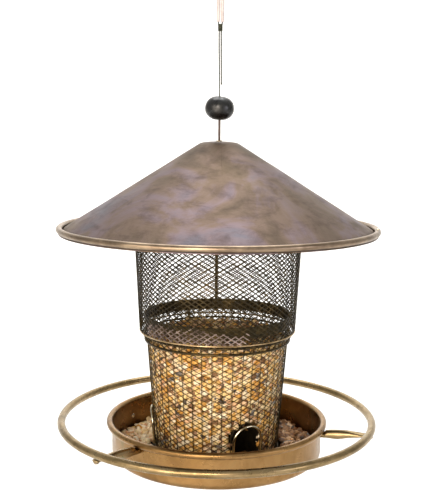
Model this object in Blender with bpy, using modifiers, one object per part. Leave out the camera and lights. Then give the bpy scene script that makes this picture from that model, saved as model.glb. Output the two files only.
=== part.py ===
"""Hanging bird feeder: a two-tier wire seed cage under a conical roof, with a seed tray and a perch ring.

Metres, +Z up. The origin is the inside top of the hanging loop, where a hook bears, and everything hangs
below it on the feeder's axis. The lower tier slides up into the upper one, and the roof slides up the cable.
"""

import math

import bmesh
import bpy
from mathutils import Matrix, Vector

MM = 0.001
GAP = 0.3 * MM
SHEET = 0.8 * MM
MERGE = 0.01 * MM
WIDE_TURN = 48
CAGE_TURN = 40

# The hanging cable, its sleeved loop and its stop bead
APEX_DROP = 138.0 * MM
CABLE_D = 1.3 * MM
JACKET_D = 2.1 * MM
SLEEVE_D = 3.2 * MM
EYE_R = 6.5 * MM
EYE_NECK = 20.0 * MM
SLEEVE_DROP = 37.5 * MM
SLEEVE_TO_CRIMP = 1.7 * MM
CRIMP_L = 6.0 * MM
CRIMP_W = 4.0 * MM
CRIMP_T = 2.8 * MM
STRAND_GAP = 0.5 * MM
TAIL_L = 44.5 * MM
BEAD_R = 12.5 * MM
BEAD_H = 20.0 * MM
BEAD_BORE_R = 3.2 * MM
BEAD_GAP = 18.2 * MM
BEAD_TILT = math.radians(4.0)
WASHER_R = 5.0 * MM

# The roof
ROOF_R = 140.0 * MM
ROOF_RISE = 75.0 * MM
ROOF_TIP_R = 16.5 * MM
ROOF_CROWN = 1.6 * MM
RIM_TUBE_R = 2.7 * MM
RIM_GROOVE = 1.1 * MM
GROMMET_BORE_R = 1.5 * MM
GROMMET_WALL = 0.7 * MM
GROMMET_LIP = 1.2 * MM
RIM_RIVET_ANGLE = math.radians(-12.0)
RIM_RIVET_HEAD_R = 1.6 * MM
RIM_RIVET_HEAD_H = 0.9 * MM

# The upper tier of the cage, with its in-turned shoulder
HOOP_FLARE = 6.6 * MM
HOOP_WIRE_R = 1.6 * MM
UPPER_H = 123.4 * MM
SHOULDER_W = 4.4 * MM
SHOULDER_H = 6.6 * MM
LIP_WIRE_R = 1.0 * MM
BAR_DROP = 6.0 * MM
BAR_W = 12.0 * MM
BAR_T = 1.6 * MM
BAR_TAB = 12.0 * MM
ANCHOR_R = 2.8 * MM
ANCHOR_L = 8.0 * MM
SEAM_W = 3.0 * MM
SEAM_T = 0.6 * MM
SEAM_END = 2.0 * MM
BAR_RIVET_HEAD_R = 2.8 * MM
BAR_RIVET_HEAD_H = 1.2 * MM
UPPER_SEAM_ANGLE = math.radians(91.0)
LOWER_SEAM_ANGLE = math.radians(116.0)

# The lower tier of the cage
LOWER_TOP_R = 63.3 * MM
LOWER_FOOT_R = 53.5 * MM
LOWER_H = 125.3 * MM
COLLAR_H = 10.0 * MM
STOP_WIRE_R = 1.1 * MM
STOP_BELOW_TOP = 17.6 * MM
FOOT_FLANGE_W = 8.0 * MM
FOOT_FLANGE_H = 7.0 * MM
FOOT_SCREW_R = 1.5 * MM
FOOT_SCREW_L = 6.0 * MM
FOOT_SCREW_HEAD_R = 3.0 * MM
FOOT_SCREW_HEAD_H = 1.4 * MM
NUT_R = 3.1 * MM
NUT_H = 2.0 * MM
SEED_DEPTH = 109.0 * MM

# The feeding ports, three round the lower tier
PORT_W = 24.0 * MM
PORT_TOP = 38.5 * MM
PORT_SILL_RISE = 1.5 * MM
PORT_FRAME_R = 1.1 * MM
HOOD_DEPTH = 17.0 * MM
HOOD_SIDE = 1.2 * MM
HOOD_LIFT = 9.0 * MM
PORT_ANGLES = [math.radians(a) for a in (-62.0, 58.0, 178.0)]

# The tray and its perch ring
TRAY_R = 98.0 * MM
TRAY_DEPTH = 33.2 * MM
TRAY_ROLL_R = 2.8 * MM
TRAY_FILLET = 5.0 * MM
DRAIN_R = 2.5 * MM
TRAY_SEED_H = 10.0 * MM
PANEL_MARGIN = 8.0 * MM
PERCH_REACH = 43.0 * MM
PERCH_TUBE_R = 3.5 * MM
PERCH_ABOVE_TRAY = 2.0 * MM
SPOKE_T = 8.4 * MM
SPOKE_W = 7.6 * MM
TONGUE_T = 2.6 * MM
TONGUE_W = 9.0 * MM
SPOKE_ROOT_T = 5.6 * MM
BOLT_R = 1.5 * MM
BOLT_L = 7.0 * MM
BOLT_HEAD_R = 3.2 * MM
BOLT_HEAD_H = 1.5 * MM
RIVET_R = 1.2 * MM
RING_RIVET_HEAD_R = 2.4 * MM
RING_RIVET_HEAD_H = 1.6 * MM
TRAY_RIVET_HEAD_R = 2.2 * MM
TRAY_RIVET_HEAD_H = 1.0 * MM
SPOKE_ANGLES = [math.radians(a) for a in (-14.0, 106.0, 226.0)]
SCREW_ANGLES = [math.radians(a) for a in (-2.0, 118.0, 238.0)]
TRAY_RIVET_ANGLE = math.radians(149.0)

# Places that follow from the sizes above
APEX_Z = -APEX_DROP
RIM_Z = APEX_Z - ROOF_RISE
GROOVE_R = ROOF_R - 2 * RIM_TUBE_R - RIM_GROOVE
ROOF_SLOPE = (ROOF_RISE - ROOF_CROWN) / (GROOVE_R - ROOF_TIP_R)
ROOF_COS = math.cos(math.atan(ROOF_SLOPE))
LEG_SPACING = SLEEVE_D + GAP
STRAND_SPACING = CABLE_D + STRAND_GAP
CRIMP_TOP = -SLEEVE_DROP - SLEEVE_TO_CRIMP
CRIMP_FOOT = CRIMP_TOP - CRIMP_L
BEAD_Z = APEX_Z + BEAD_GAP + BEAD_H / 2
JACKET_TOP = BEAD_Z


def roof_height(r):
    """Height of the roof's outer face at radius r on its cone."""
    return RIM_Z + (GROOVE_R - r) * ROOF_SLOPE


LOWER_TAPER = (LOWER_TOP_R - LOWER_FOOT_R) / LOWER_H
STOP_WALL_R = max(LOWER_TOP_R - LOWER_TAPER * STOP_BELOW_TOP, LOWER_FOOT_R) + SHEET / 2 + GAP
STOP_R = STOP_WALL_R + STOP_WIRE_R
LIP_R = STOP_WALL_R + LIP_WIRE_R
UPPER_LOW_R = LIP_R + SHOULDER_W
HOOP_R = UPPER_LOW_R + HOOP_FLARE
HOOP_Z = roof_height(HOOP_R) - (SHEET + GAP + HOOP_WIRE_R) / ROOF_COS
SHOULDER_Z = HOOP_Z - UPPER_H
SHOULDER_FOOT_Z = SHOULDER_Z - SHOULDER_H
LIP_Z = SHOULDER_FOOT_Z - SHEET / 2 - GAP - LIP_WIRE_R
SHOULDER_SLOPE = SHOULDER_H / SHOULDER_W
SHOULDER_COS = math.cos(math.atan(SHOULDER_SLOPE))
BAR_Z = HOOP_Z - BAR_DROP


def upper_radius(z):
    """Mid radius of the upper tier's wall at height z."""
    return UPPER_LOW_R + (HOOP_R - UPPER_LOW_R) * (z - SHOULDER_Z) / UPPER_H


STOP_RISE = (SHEET / 2 + GAP + STOP_WIRE_R) / SHOULDER_COS
STOP_Z = SHOULDER_Z - (UPPER_LOW_R - STOP_R) * SHOULDER_SLOPE + STOP_RISE
LOWER_TOP = STOP_Z + STOP_BELOW_TOP
LOWER_FOOT = LOWER_TOP - LOWER_H


def lower_radius(z):
    """Mid radius of the lower tier's wall at height z."""
    return LOWER_FOOT_R + (z - LOWER_FOOT) * LOWER_TAPER


FLOOR_TOP = LOWER_FOOT - GAP - SHEET - GAP
TRAY_FOOT = FLOOR_TOP - SHEET
TRAY_RIM_Z = TRAY_FOOT + TRAY_DEPTH - TRAY_ROLL_R
TRAY_WALL_R = TRAY_R - 2 * TRAY_ROLL_R + SHEET / 2
PERCH_Z = TRAY_RIM_Z + PERCH_ABOVE_TRAY
PERCH_R = TRAY_R + PERCH_REACH
PERCH_LINE_R = PERCH_R - PERCH_TUBE_R
SILL_Z = FLOOR_TOP + FOOT_FLANGE_H + PORT_SILL_RISE
PORT_TOP_Z = FLOOR_TOP + PORT_TOP
FOOT_FLANGE_R = LOWER_FOOT_R + SHEET / 2 + GAP + FOOT_FLANGE_W + SHEET
FOOT_SCREW_RING_R = FOOT_FLANGE_R - FOOT_FLANGE_W / 2 + 0.6 * MM
DRAIN_RING_R = (FOOT_FLANGE_R + TRAY_WALL_R) / 2


def clear_scene():
    """Remove everything that the scene starts with."""
    for obj in list(bpy.data.objects):
        bpy.data.objects.remove(obj, do_unlink=True)


def collection(name):
    """A new collection in the scene."""
    made = bpy.data.collections.new(name)
    bpy.context.scene.collection.children.link(made)
    return made


def finish(name, color, roughness, metallic):
    """A plain Principled material."""
    mat = bpy.data.materials.new(name)
    mat.use_nodes = True
    shader = mat.node_tree.nodes["Principled BSDF"]
    shader.inputs["Base Color"].default_value = (*color, 1.0)
    shader.inputs["Roughness"].default_value = roughness
    shader.inputs["Metallic"].default_value = metallic
    return mat


clear_scene()
PARTS = collection("bird_feeder")
CUTTERS = collection("cutters")

PEWTER = finish("aged_pewter_bronze", (0.33, 0.26, 0.21), 0.38, 0.9)
MESH_BROWN = finish("dark_bronze_wire", (0.05, 0.04, 0.02), 0.5, 0.7)
TRAY_BRONZE = finish("tray_bronze", (0.28, 0.17, 0.09), 0.32, 0.9)
STEEL = finish("steel_cable", (0.45, 0.45, 0.45), 0.4, 0.9)
JACKET = finish("brown_cable_jacket", (0.07, 0.04, 0.03), 0.5, 0.0)
SLEEVE = finish("pale_vinyl_sleeve", (0.75, 0.7, 0.7), 0.3, 0.0)
FERRULE = finish("dark_ferrule", (0.04, 0.045, 0.025), 0.45, 0.6)
BLACK = finish("black_painted_bead", (0.012, 0.012, 0.012), 0.35, 0.0)
EYELET = finish("pale_eyelet", (0.7, 0.62, 0.55), 0.3, 0.9)
RIVET = finish("bright_rivet", (0.6, 0.52, 0.42), 0.3, 0.9)
SEED = finish("mixed_seed", (0.6, 0.36, 0.14), 0.7, 0.0)


def keep(obj, mat, group=PARTS):
    """Put an object into its collection with its material, shaded smooth over gentle edges."""
    for home in list(obj.users_collection):
        home.objects.unlink(obj)
    group.objects.link(obj)
    if mat is not None:
        obj.data.materials.clear()
        obj.data.materials.append(mat)
    if obj.type == "MESH":
        obj.data.shade_smooth()
        obj.data.set_sharp_from_angle(angle=math.radians(40))
    return obj


def from_bmesh(name, bm, mat, group=PARTS):
    """A mesh object made from a bmesh."""
    mesh = bpy.data.meshes.new(name)
    bm.to_mesh(mesh)
    bm.free()
    obj = bpy.data.objects.new(name, mesh)
    return keep(obj, mat, group)


def screw(obj, segments):
    """Turn a profile in the XZ plane about Z."""
    turn = obj.modifiers.new("turn", "SCREW")
    turn.axis = "Z"
    turn.angle = math.tau
    turn.steps = segments
    turn.render_steps = segments
    turn.use_merge_vertices = True
    turn.merge_threshold = MERGE
    turn.use_smooth_shade = True


def turned(name, outline, mat, segments, closed=True, group=PARTS):
    """A turned solid, or an open turned sheet, from (radius, height) points that run down its outer side."""
    bm = bmesh.new()
    points = [bm.verts.new((r, 0.0, z)) for r, z in outline]
    for a, b in zip(points, points[1:]):
        bm.edges.new((a, b))
    if closed:
        bm.edges.new((points[-1], points[0]))
    obj = from_bmesh(name, bm, mat, group)
    screw(obj, segments)
    return obj


def thicken(obj, thickness, offset=0.0):
    """Give an open sheet its thickness."""
    solid = obj.modifiers.new("sheet", "SOLIDIFY")
    solid.thickness = thickness
    solid.offset = offset
    solid.use_even_offset = True
    return obj


def ring(name, radius, z, wire_r, mat, segments, sides):
    """A round wire hoop."""
    bpy.ops.mesh.primitive_torus_add(
        major_radius=radius,
        minor_radius=wire_r,
        major_segments=segments,
        minor_segments=sides,
        location=(0.0, 0.0, z),
    )
    obj = bpy.context.object
    obj.name = name
    return keep(obj, mat)


def tube(name, points, radius, mat, resolution=2):
    """A round wire or cable along points, with filled ends."""
    data = bpy.data.curves.new(name, "CURVE")
    data.dimensions = "3D"
    data.bevel_depth = radius
    data.bevel_resolution = resolution
    data.use_fill_caps = True
    line = data.splines.new("POLY")
    line.points.add(len(points) - 1)
    for point, place in zip(line.points, points):
        point.co = (*place, 1.0)
    obj = bpy.data.objects.new(name, data)
    return keep(obj, mat)


def rod(name, radius, depth, matrix, mat, segments=16, group=PARTS, radius_end=None):
    """A straight round bar or cone about its own Z, placed by a matrix."""
    bm = bmesh.new()
    bmesh.ops.create_cone(
        bm,
        cap_ends=True,
        segments=segments,
        radius1=radius,
        radius2=radius if radius_end is None else radius_end,
        depth=depth,
    )
    obj = from_bmesh(name, bm, mat, group)
    obj.matrix_world = matrix
    return obj


def hide_cutter(obj):
    """Mark a cutter so that it isn't part of the feeder."""
    obj.hide_render = True
    obj.display_type = "WIRE"
    return obj


def cut(obj, cutter):
    """Subtract a cutter from an object."""
    tool = obj.modifiers.new("cut_" + cutter.name, "BOOLEAN")
    tool.operation = "DIFFERENCE"
    tool.solver = "EXACT"
    tool.object = hide_cutter(cutter)


def polar(angle, radius, z=0.0):
    """A point at an angle round the axis."""
    return Vector((radius * math.cos(angle), radius * math.sin(angle), z))


def facing(angle, radius, z, lean=0.0):
    """A frame whose Z points outwards at an angle, leaning up by lean."""
    out = Vector((math.cos(angle) * math.cos(lean), math.sin(angle) * math.cos(lean), math.sin(lean)))
    side = Vector((-math.sin(angle), math.cos(angle), 0.0))
    rise = out.cross(side)
    turn = Matrix((side, rise, out)).transposed().to_4x4()
    turn.translation = polar(angle, radius, z)
    return turn


def upright(x, y, z):
    """A frame whose Z points up."""
    return Matrix.Translation((x, y, z))


def fastener(name, head_r, head_h, shank_r, shank_l, matrix, mat):
    """A domed head on a shank: the head stands on its own Z = 0 plane, and the shank goes down from it."""
    outline = [(0.0, head_h)]
    for step in (60, 25):
        angle = math.radians(step)
        outline.append((head_r * math.cos(angle), head_h * math.sin(angle)))
    outline += [(head_r, 0.0), (shank_r, 0.0), (shank_r, -shank_l), (0.0, -shank_l)]
    obj = turned(name, outline, mat, 12, closed=False)
    obj.matrix_world = matrix
    return obj


def make_cable():
    """The cable: jacketed up to the bead, bare above it, crimped, looped in a sleeve and down to its tail."""
    low = BAR_Z - BAR_T - GAP - SHEET - GAP - ANCHOR_L
    straight = [(0, 0, low), (0, 0, (low + JACKET_TOP) / 2), (0, 0, JACKET_TOP)]
    tube("cable_jacketed", straight, JACKET_D / 2, JACKET)

    start = JACKET_TOP + GAP
    end = CRIMP_FOOT - GAP
    half = STRAND_SPACING / 2
    steps = 14
    points = []
    for i in range(steps + 1):
        t = i / steps
        points.append((-half * t * t * (3 - 2 * t), 0, start + (end - start) * t))
    tube("cable_bare", points, CABLE_D / 2, STEEL)

    tail = []
    for i in range(steps + 1):
        z = end - TAIL_L * i / steps
        t = (z - start) / (end - start)
        tail.append((STRAND_SPACING - half * t * t * (3 - 2 * t), 0, z))
    tube("cable_tail", tail, CABLE_D / 2, STEEL)

    outline = []
    for i in range(16):
        angle = math.tau * i / 16
        outline.append((math.cos(angle), math.sin(angle)))
    loft(
        "crimp_ferrule",
        [
            ([(x * CRIMP_W * 0.38, y * CRIMP_T * 0.4) for x, y in outline], CRIMP_FOOT),
            ([(x * CRIMP_W * 0.43, y * CRIMP_T * 0.5) for x, y in outline], CRIMP_FOOT + 0.8 * MM),
            ([(x * CRIMP_W * 0.5, y * CRIMP_T * 0.5) for x, y in outline], CRIMP_TOP - 0.8 * MM),
            ([(x * CRIMP_W * 0.45, y * CRIMP_T * 0.4) for x, y in outline], CRIMP_TOP),
        ],
        FERRULE,
    )
    tube("hang_loop", loop_route(), SLEEVE_D / 2, SLEEVE)


def loop_route():
    """Centreline of the sleeved loop: up one leg, round the eye and down the other leg."""
    centre = SLEEVE_D / 2 - EYE_R
    neck_angle = math.radians(-20)
    neck = Vector((EYE_R * math.cos(neck_angle), centre + EYE_R * math.sin(neck_angle)))
    leg = Vector((LEG_SPACING / 2, -EYE_NECK))
    pull = (neck.y - leg.y) * 0.42
    handle_a = neck + pull * Vector((math.sin(neck_angle), -math.cos(neck_angle)))
    handle_b = leg + pull * Vector((0, 1))
    half = []
    for i in range(11):
        angle = math.radians(90) + (neck_angle - math.radians(90)) * i / 10
        half.append((EYE_R * math.cos(angle), centre + EYE_R * math.sin(angle)))
    for i in range(1, 9):
        t = i / 8
        place = neck * (1 - t) ** 3 + leg * t**3
        place += handle_a * 3 * t * (1 - t) ** 2 + handle_b * 3 * t * t * (1 - t)
        half.append((place.x, place.y))
    for i in range(1, 4):
        half.append((leg.x, leg.y + (-SLEEVE_DROP - leg.y) * i / 3))
    left = [(-x, 0.0, z) for x, z in reversed(half)]
    return left[:-1] + [(x, 0.0, z) for x, z in half]


def loft(name, sections, mat, group=PARTS, matrix=None):
    """A solid through a stack of outlines, each a list of (x, y) at a height."""
    bm = bmesh.new()
    loops = [[bm.verts.new((x, y, z)) for x, y in outline] for outline, z in sections]
    for low, high in zip(loops, loops[1:]):
        count = len(low)
        for i in range(count):
            j = (i + 1) % count
            bm.faces.new((low[i], low[j], high[j], high[i]))
    bm.faces.new(list(reversed(loops[0])))
    bm.faces.new(loops[-1])
    obj = from_bmesh(name, bm, mat, group)
    if matrix is not None:
        obj.matrix_world = matrix
    return obj


def make_bead():
    """The black stop bead, a squashed ball with a through bore, riding slightly askew on the cable."""
    start = math.asin(BEAD_BORE_R / BEAD_R)
    steps = 12
    outline = []
    for i in range(steps + 1):
        angle = start + (math.pi - 2 * start) * i / steps
        outline.append((BEAD_R * math.sin(angle), BEAD_H / 2 * math.cos(angle) / math.cos(start)))
    obj = turned("stop_bead", outline, BLACK, 24)
    obj.matrix_world = upright(0, 0, BEAD_Z) @ Matrix.Rotation(BEAD_TILT, 4, "Y")


def make_roof():
    """The conical roof with its grooved edge, the rolled rim tube, the apex grommet and the rim's rivet."""
    crown_z = APEX_Z - ROOF_CROWN
    hole_r = GROMMET_BORE_R + GROMMET_WALL + GAP
    ledge = RIM_Z - RIM_TUBE_R - GAP
    profile = [
        (hole_r, APEX_Z),
        (ROOF_TIP_R * 0.62, APEX_Z - ROOF_CROWN * 0.25),
        (ROOF_TIP_R, crown_z),
        ((ROOF_TIP_R + GROOVE_R) / 2, (crown_z + RIM_Z) / 2),
        (GROOVE_R, RIM_Z),
        (GROOVE_R + 0.5 * MM, ledge),
        (ROOF_R - RIM_TUBE_R * 0.7, ledge),
    ]
    cone = turned("roof_cone", profile, PEWTER, WIDE_TURN, closed=False)
    thicken(cone, SHEET, -1.0)
    ring("roof_rim", ROOF_R - RIM_TUBE_R, RIM_Z, RIM_TUBE_R, PEWTER, WIDE_TURN, 8)

    neck_r = GROMMET_BORE_R + GROMMET_WALL
    lip_r = neck_r + GROMMET_LIP
    above = APEX_Z + GAP
    below = APEX_Z - SHEET - GAP
    lip = 0.6 * MM
    turned(
        "apex_grommet",
        [
            (GROMMET_BORE_R, above + lip),
            (lip_r - lip / 2, above + lip),
            (lip_r, above),
            (neck_r, above),
            (neck_r, below),
            (lip_r, below),
            (lip_r - lip / 2, below - lip),
            (GROMMET_BORE_R, below - lip),
        ],
        EYELET,
        20,
    )
    top = RIM_Z + RIM_TUBE_R + GAP
    place = upright(*polar(RIM_RIVET_ANGLE, ROOF_R - RIM_TUBE_R, top))
    fastener("rim_rivet", RIM_RIVET_HEAD_R, RIM_RIVET_HEAD_H, RIM_RIVET_HEAD_R / 2, GAP / 3, place, RIVET)


def seam_strip(name, angle, low, high, radius_at, inset, mat):
    """A lap seam strip that lies along a tapering wall, on its inner side."""
    foot = radius_at(low) - inset
    head = radius_at(high) - inset
    half_w = SEAM_W / 2
    half_t = SEAM_T / 2
    corners = [(-half_t, -half_w), (half_t, -half_w), (half_t, half_w), (-half_t, half_w)]
    sections = [([(foot + x, y) for x, y in corners], low), ([(head + x, y) for x, y in corners], high)]
    loft(name, sections, mat, matrix=Matrix.Rotation(angle, 4, "Z"))


def make_upper_cage():
    """The upper tier: wire wall with in-turned shoulder, top hoop, lip ring, seam and the hanger bar."""
    wall = turned(
        "upper_mesh",
        [
            (upper_radius(HOOP_Z - HOOP_WIRE_R - GAP), HOOP_Z - HOOP_WIRE_R - GAP),
            (UPPER_LOW_R, SHOULDER_Z),
            (LIP_R, SHOULDER_FOOT_Z),
        ],
        MESH_BROWN,
        CAGE_TURN,
        closed=False,
    )
    thicken(wall, SHEET)
    ring("top_hoop", HOOP_R, HOOP_Z, HOOP_WIRE_R, MESH_BROWN, CAGE_TURN, 6)
    ring("lip_ring", LIP_R, LIP_Z, LIP_WIRE_R, MESH_BROWN, CAGE_TURN, 6)
    inset = SHEET / 2 + GAP + SEAM_T / 2
    seam_strip(
        "upper_seam",
        UPPER_SEAM_ANGLE,
        SHOULDER_Z + SEAM_END,
        HOOP_Z - HOOP_WIRE_R - GAP - SEAM_END,
        upper_radius,
        inset,
        MESH_BROWN,
    )

    tab_z = BAR_Z - BAR_T - BAR_TAB * 0.55
    for name, angle in (("bar_rivet_left", math.pi), ("bar_rivet_right", 0.0)):
        hole = facing(angle, upper_radius(tab_z), tab_z)
        cut(wall, rod("hole_wall_" + name, RIVET_R + GAP, 6 * MM, hole, None, 12, CUTTERS))

    inner_wall = upper_radius(BAR_Z - BAR_TAB) - SHEET / 2
    reach = math.sqrt(inner_wall**2 - (BAR_W / 2) ** 2) - GAP
    bm = bmesh.new()
    outline = [(-reach, -BAR_TAB), (-reach, 0.0), (reach, 0.0), (reach, -BAR_TAB)]
    rows = [[bm.verts.new((x, y, BAR_Z + z)) for x, z in outline] for y in (-BAR_W / 2, BAR_W / 2)]
    for i in range(3):
        bm.faces.new((rows[0][i], rows[0][i + 1], rows[1][i + 1], rows[1][i]))
    bar = from_bmesh("hanger_bar", bm, MESH_BROWN)
    thicken(bar, BAR_T, -1.0)
    cut(bar, rod("hole_bar_cable", JACKET_D / 2 + GAP, 4 * BAR_T, upright(0, 0, BAR_Z), None, 16, CUTTERS))
    for name, angle in (("bar_rivet_left", math.pi), ("bar_rivet_right", 0.0)):
        hole = facing(angle, reach, tab_z)
        cut(bar, rod("hole_tab_" + name, RIVET_R + GAP, 4 * BAR_T, hole, None, 12, CUTTERS))
        seat = upper_radius(tab_z) + SHEET / 2 + GAP
        shank = seat - (reach - BAR_T) + 0.4 * MM
        fastener(name, BAR_RIVET_HEAD_R, BAR_RIVET_HEAD_H, RIVET_R, shank, facing(angle, seat, tab_z), RIVET)

    washer_top = BAR_Z - BAR_T - GAP
    bore = JACKET_D / 2 + GAP
    turned(
        "anchor_washer",
        [
            (bore, washer_top),
            (WASHER_R, washer_top),
            (WASHER_R, washer_top - SHEET),
            (bore, washer_top - SHEET),
        ],
        STEEL,
        20,
    )
    top = washer_top - SHEET - GAP
    turned(
        "cable_anchor",
        [
            (bore, top),
            (ANCHOR_R - 0.4 * MM, top),
            (ANCHOR_R, top - 0.5 * MM),
            (ANCHOR_R, top - ANCHOR_L + 0.5 * MM),
            (ANCHOR_R - 0.4 * MM, top - ANCHOR_L),
            (bore, top - ANCHOR_L),
        ],
        STEEL,
        16,
    )


def arch(width, foot, top, steps):
    """Half-round arch outline as (sideways, height), from its left foot to its right foot."""
    radius = width / 2
    spring = top - radius
    points = [(-radius, foot)]
    for i in range(steps + 1):
        angle = math.pi - math.pi * i / steps
        points.append((radius * math.cos(angle), spring + radius * math.sin(angle)))
    points.append((radius, foot))
    return points


def arch_cutter(name, width, foot, top, near, far, angle):
    """An arch-shaped cutter that runs outwards from near to far along an angle."""
    outline = arch(width, foot, top, 12)
    bm = bmesh.new()
    ends = [[bm.verts.new((x, s, z)) for s, z in outline] for x in (near, far)]
    count = len(outline)
    for i in range(count):
        j = (i + 1) % count
        bm.faces.new((ends[0][i], ends[1][i], ends[1][j], ends[0][j]))
    bm.faces.new(ends[0])
    bm.faces.new(list(reversed(ends[1])))
    bmesh.ops.recalc_face_normals(bm, faces=bm.faces)
    obj = from_bmesh(name, bm, None, CUTTERS)
    obj.matrix_world = Matrix.Rotation(angle, 4, "Z")
    return obj


def make_port(number, angle, wall, seed):
    """One feeding port: the arched cut in the wall, its wire frame and the hood that holds the seed back."""
    tag = str(number)
    near = LOWER_FOOT_R - HOOD_DEPTH
    cut(wall, arch_cutter("port_cut_" + tag, PORT_W, SILL_Z, PORT_TOP_Z, near, LOWER_TOP_R + 5 * MM, angle))

    frame = []
    line_w = PORT_W + 2 * PORT_FRAME_R
    for s, z in arch(line_w, SILL_Z + PORT_FRAME_R + GAP, PORT_TOP_Z + PORT_FRAME_R, 12):
        radius = lower_radius(z) + SHEET / 2 + GAP + PORT_FRAME_R
        turn = angle + s / radius
        frame.append(polar(turn, radius, z))
    tube("port_frame_" + tag, frame, PORT_FRAME_R, RIVET)

    hood_w = PORT_W + 2 * HOOD_SIDE
    foot = FLOOR_TOP + HOOD_LIFT
    inner = lower_radius(foot) - SHEET / 2 - GAP
    front = math.sqrt(inner**2 - (hood_w / 2 + SHEET) ** 2) - GAP
    outline = arch(hood_w, foot, PORT_TOP_Z + HOOD_SIDE, 10)
    middle_z = (foot + PORT_TOP_Z) / 2
    back = [(s * 0.8, middle_z + (z - middle_z) * 0.85 if z > middle_z else z) for s, z in outline]
    bm = bmesh.new()
    outer = [bm.verts.new((front, s, z)) for s, z in outline]
    inner_loop = [bm.verts.new((front - HOOD_DEPTH, s, z)) for s, z in back]
    for i in range(len(outline) - 1):
        bm.faces.new((outer[i], outer[i + 1], inner_loop[i + 1], inner_loop[i]))
    bm.faces.new(inner_loop)
    bmesh.ops.recalc_face_normals(bm, faces=bm.faces)
    hood = from_bmesh("port_hood_" + tag, bm, MESH_BROWN)
    hood.matrix_world = Matrix.Rotation(angle, 4, "Z")
    thicken(hood, SHEET, 0.0)

    pocket_w = hood_w + 2 * SHEET + 2 * GAP
    pocket_top = PORT_TOP_Z + HOOD_SIDE + SHEET + 2 * GAP
    back_x = front - HOOD_DEPTH - SHEET - 2 * GAP
    low = FLOOR_TOP - 1 * MM
    far = LOWER_TOP_R + 5 * MM
    cut(seed, arch_cutter("seed_pocket_" + tag, pocket_w, low, pocket_top, back_x, far, angle))


def make_lower_cage():
    """The lower tier: wire wall, collar band, stop ring, seam, the foot ring and the seed inside."""
    wall = turned(
        "lower_mesh",
        [(LOWER_TOP_R, LOWER_TOP), (LOWER_FOOT_R, LOWER_FOOT)],
        MESH_BROWN,
        CAGE_TURN,
        closed=False,
    )
    thicken(wall, SHEET)
    side = SHEET / 2 + GAP
    collar_low = LOWER_TOP - COLLAR_H
    turned(
        "collar_band",
        [
            (lower_radius(LOWER_TOP) + side, LOWER_TOP),
            (lower_radius(LOWER_TOP) + side + SHEET, LOWER_TOP),
            (lower_radius(collar_low) + side + SHEET, collar_low),
            (lower_radius(collar_low) + side, collar_low),
        ],
        MESH_BROWN,
        CAGE_TURN,
    )
    ring("stop_ring", STOP_R, STOP_Z, STOP_WIRE_R, MESH_BROWN, CAGE_TURN, 6)
    inset = side + SEAM_T / 2
    seam_strip(
        "lower_seam",
        LOWER_SEAM_ANGLE,
        LOWER_FOOT + SEAM_END,
        LOWER_TOP - SEAM_END,
        lower_radius,
        inset,
        MESH_BROWN,
    )

    clear = side + SEAM_T + GAP
    fill_top = FLOOR_TOP + SEED_DEPTH
    fill_low = FLOOR_TOP + GAP
    fill_edge = fill_top - 2 * MM
    seed = turned(
        "seed_fill",
        [
            (0.0, fill_top),
            (lower_radius(fill_top) * 0.6, fill_top - 0.5 * MM),
            (lower_radius(fill_edge) - clear, fill_edge),
            (lower_radius(fill_low) - clear, fill_low),
            (0.0, fill_low),
        ],
        SEED,
        CAGE_TURN,
        closed=False,
    )
    for number, angle in enumerate(PORT_ANGLES, 1):
        make_port(number, angle, wall, seed)

    flange_top = FLOOR_TOP + GAP + SHEET
    face = LOWER_FOOT_R + side
    lean = LOWER_TAPER * FOOT_FLANGE_H
    foot = turned(
        "foot_ring",
        [
            (face + lean, flange_top - SHEET + FOOT_FLANGE_H),
            (face + lean + SHEET, flange_top - SHEET + FOOT_FLANGE_H),
            (face + lean + SHEET, flange_top),
            (FOOT_FLANGE_R, flange_top),
            (FOOT_FLANGE_R, flange_top - SHEET),
            (face, flange_top - SHEET),
        ],
        MESH_BROWN,
        CAGE_TURN,
    )
    return foot


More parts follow.
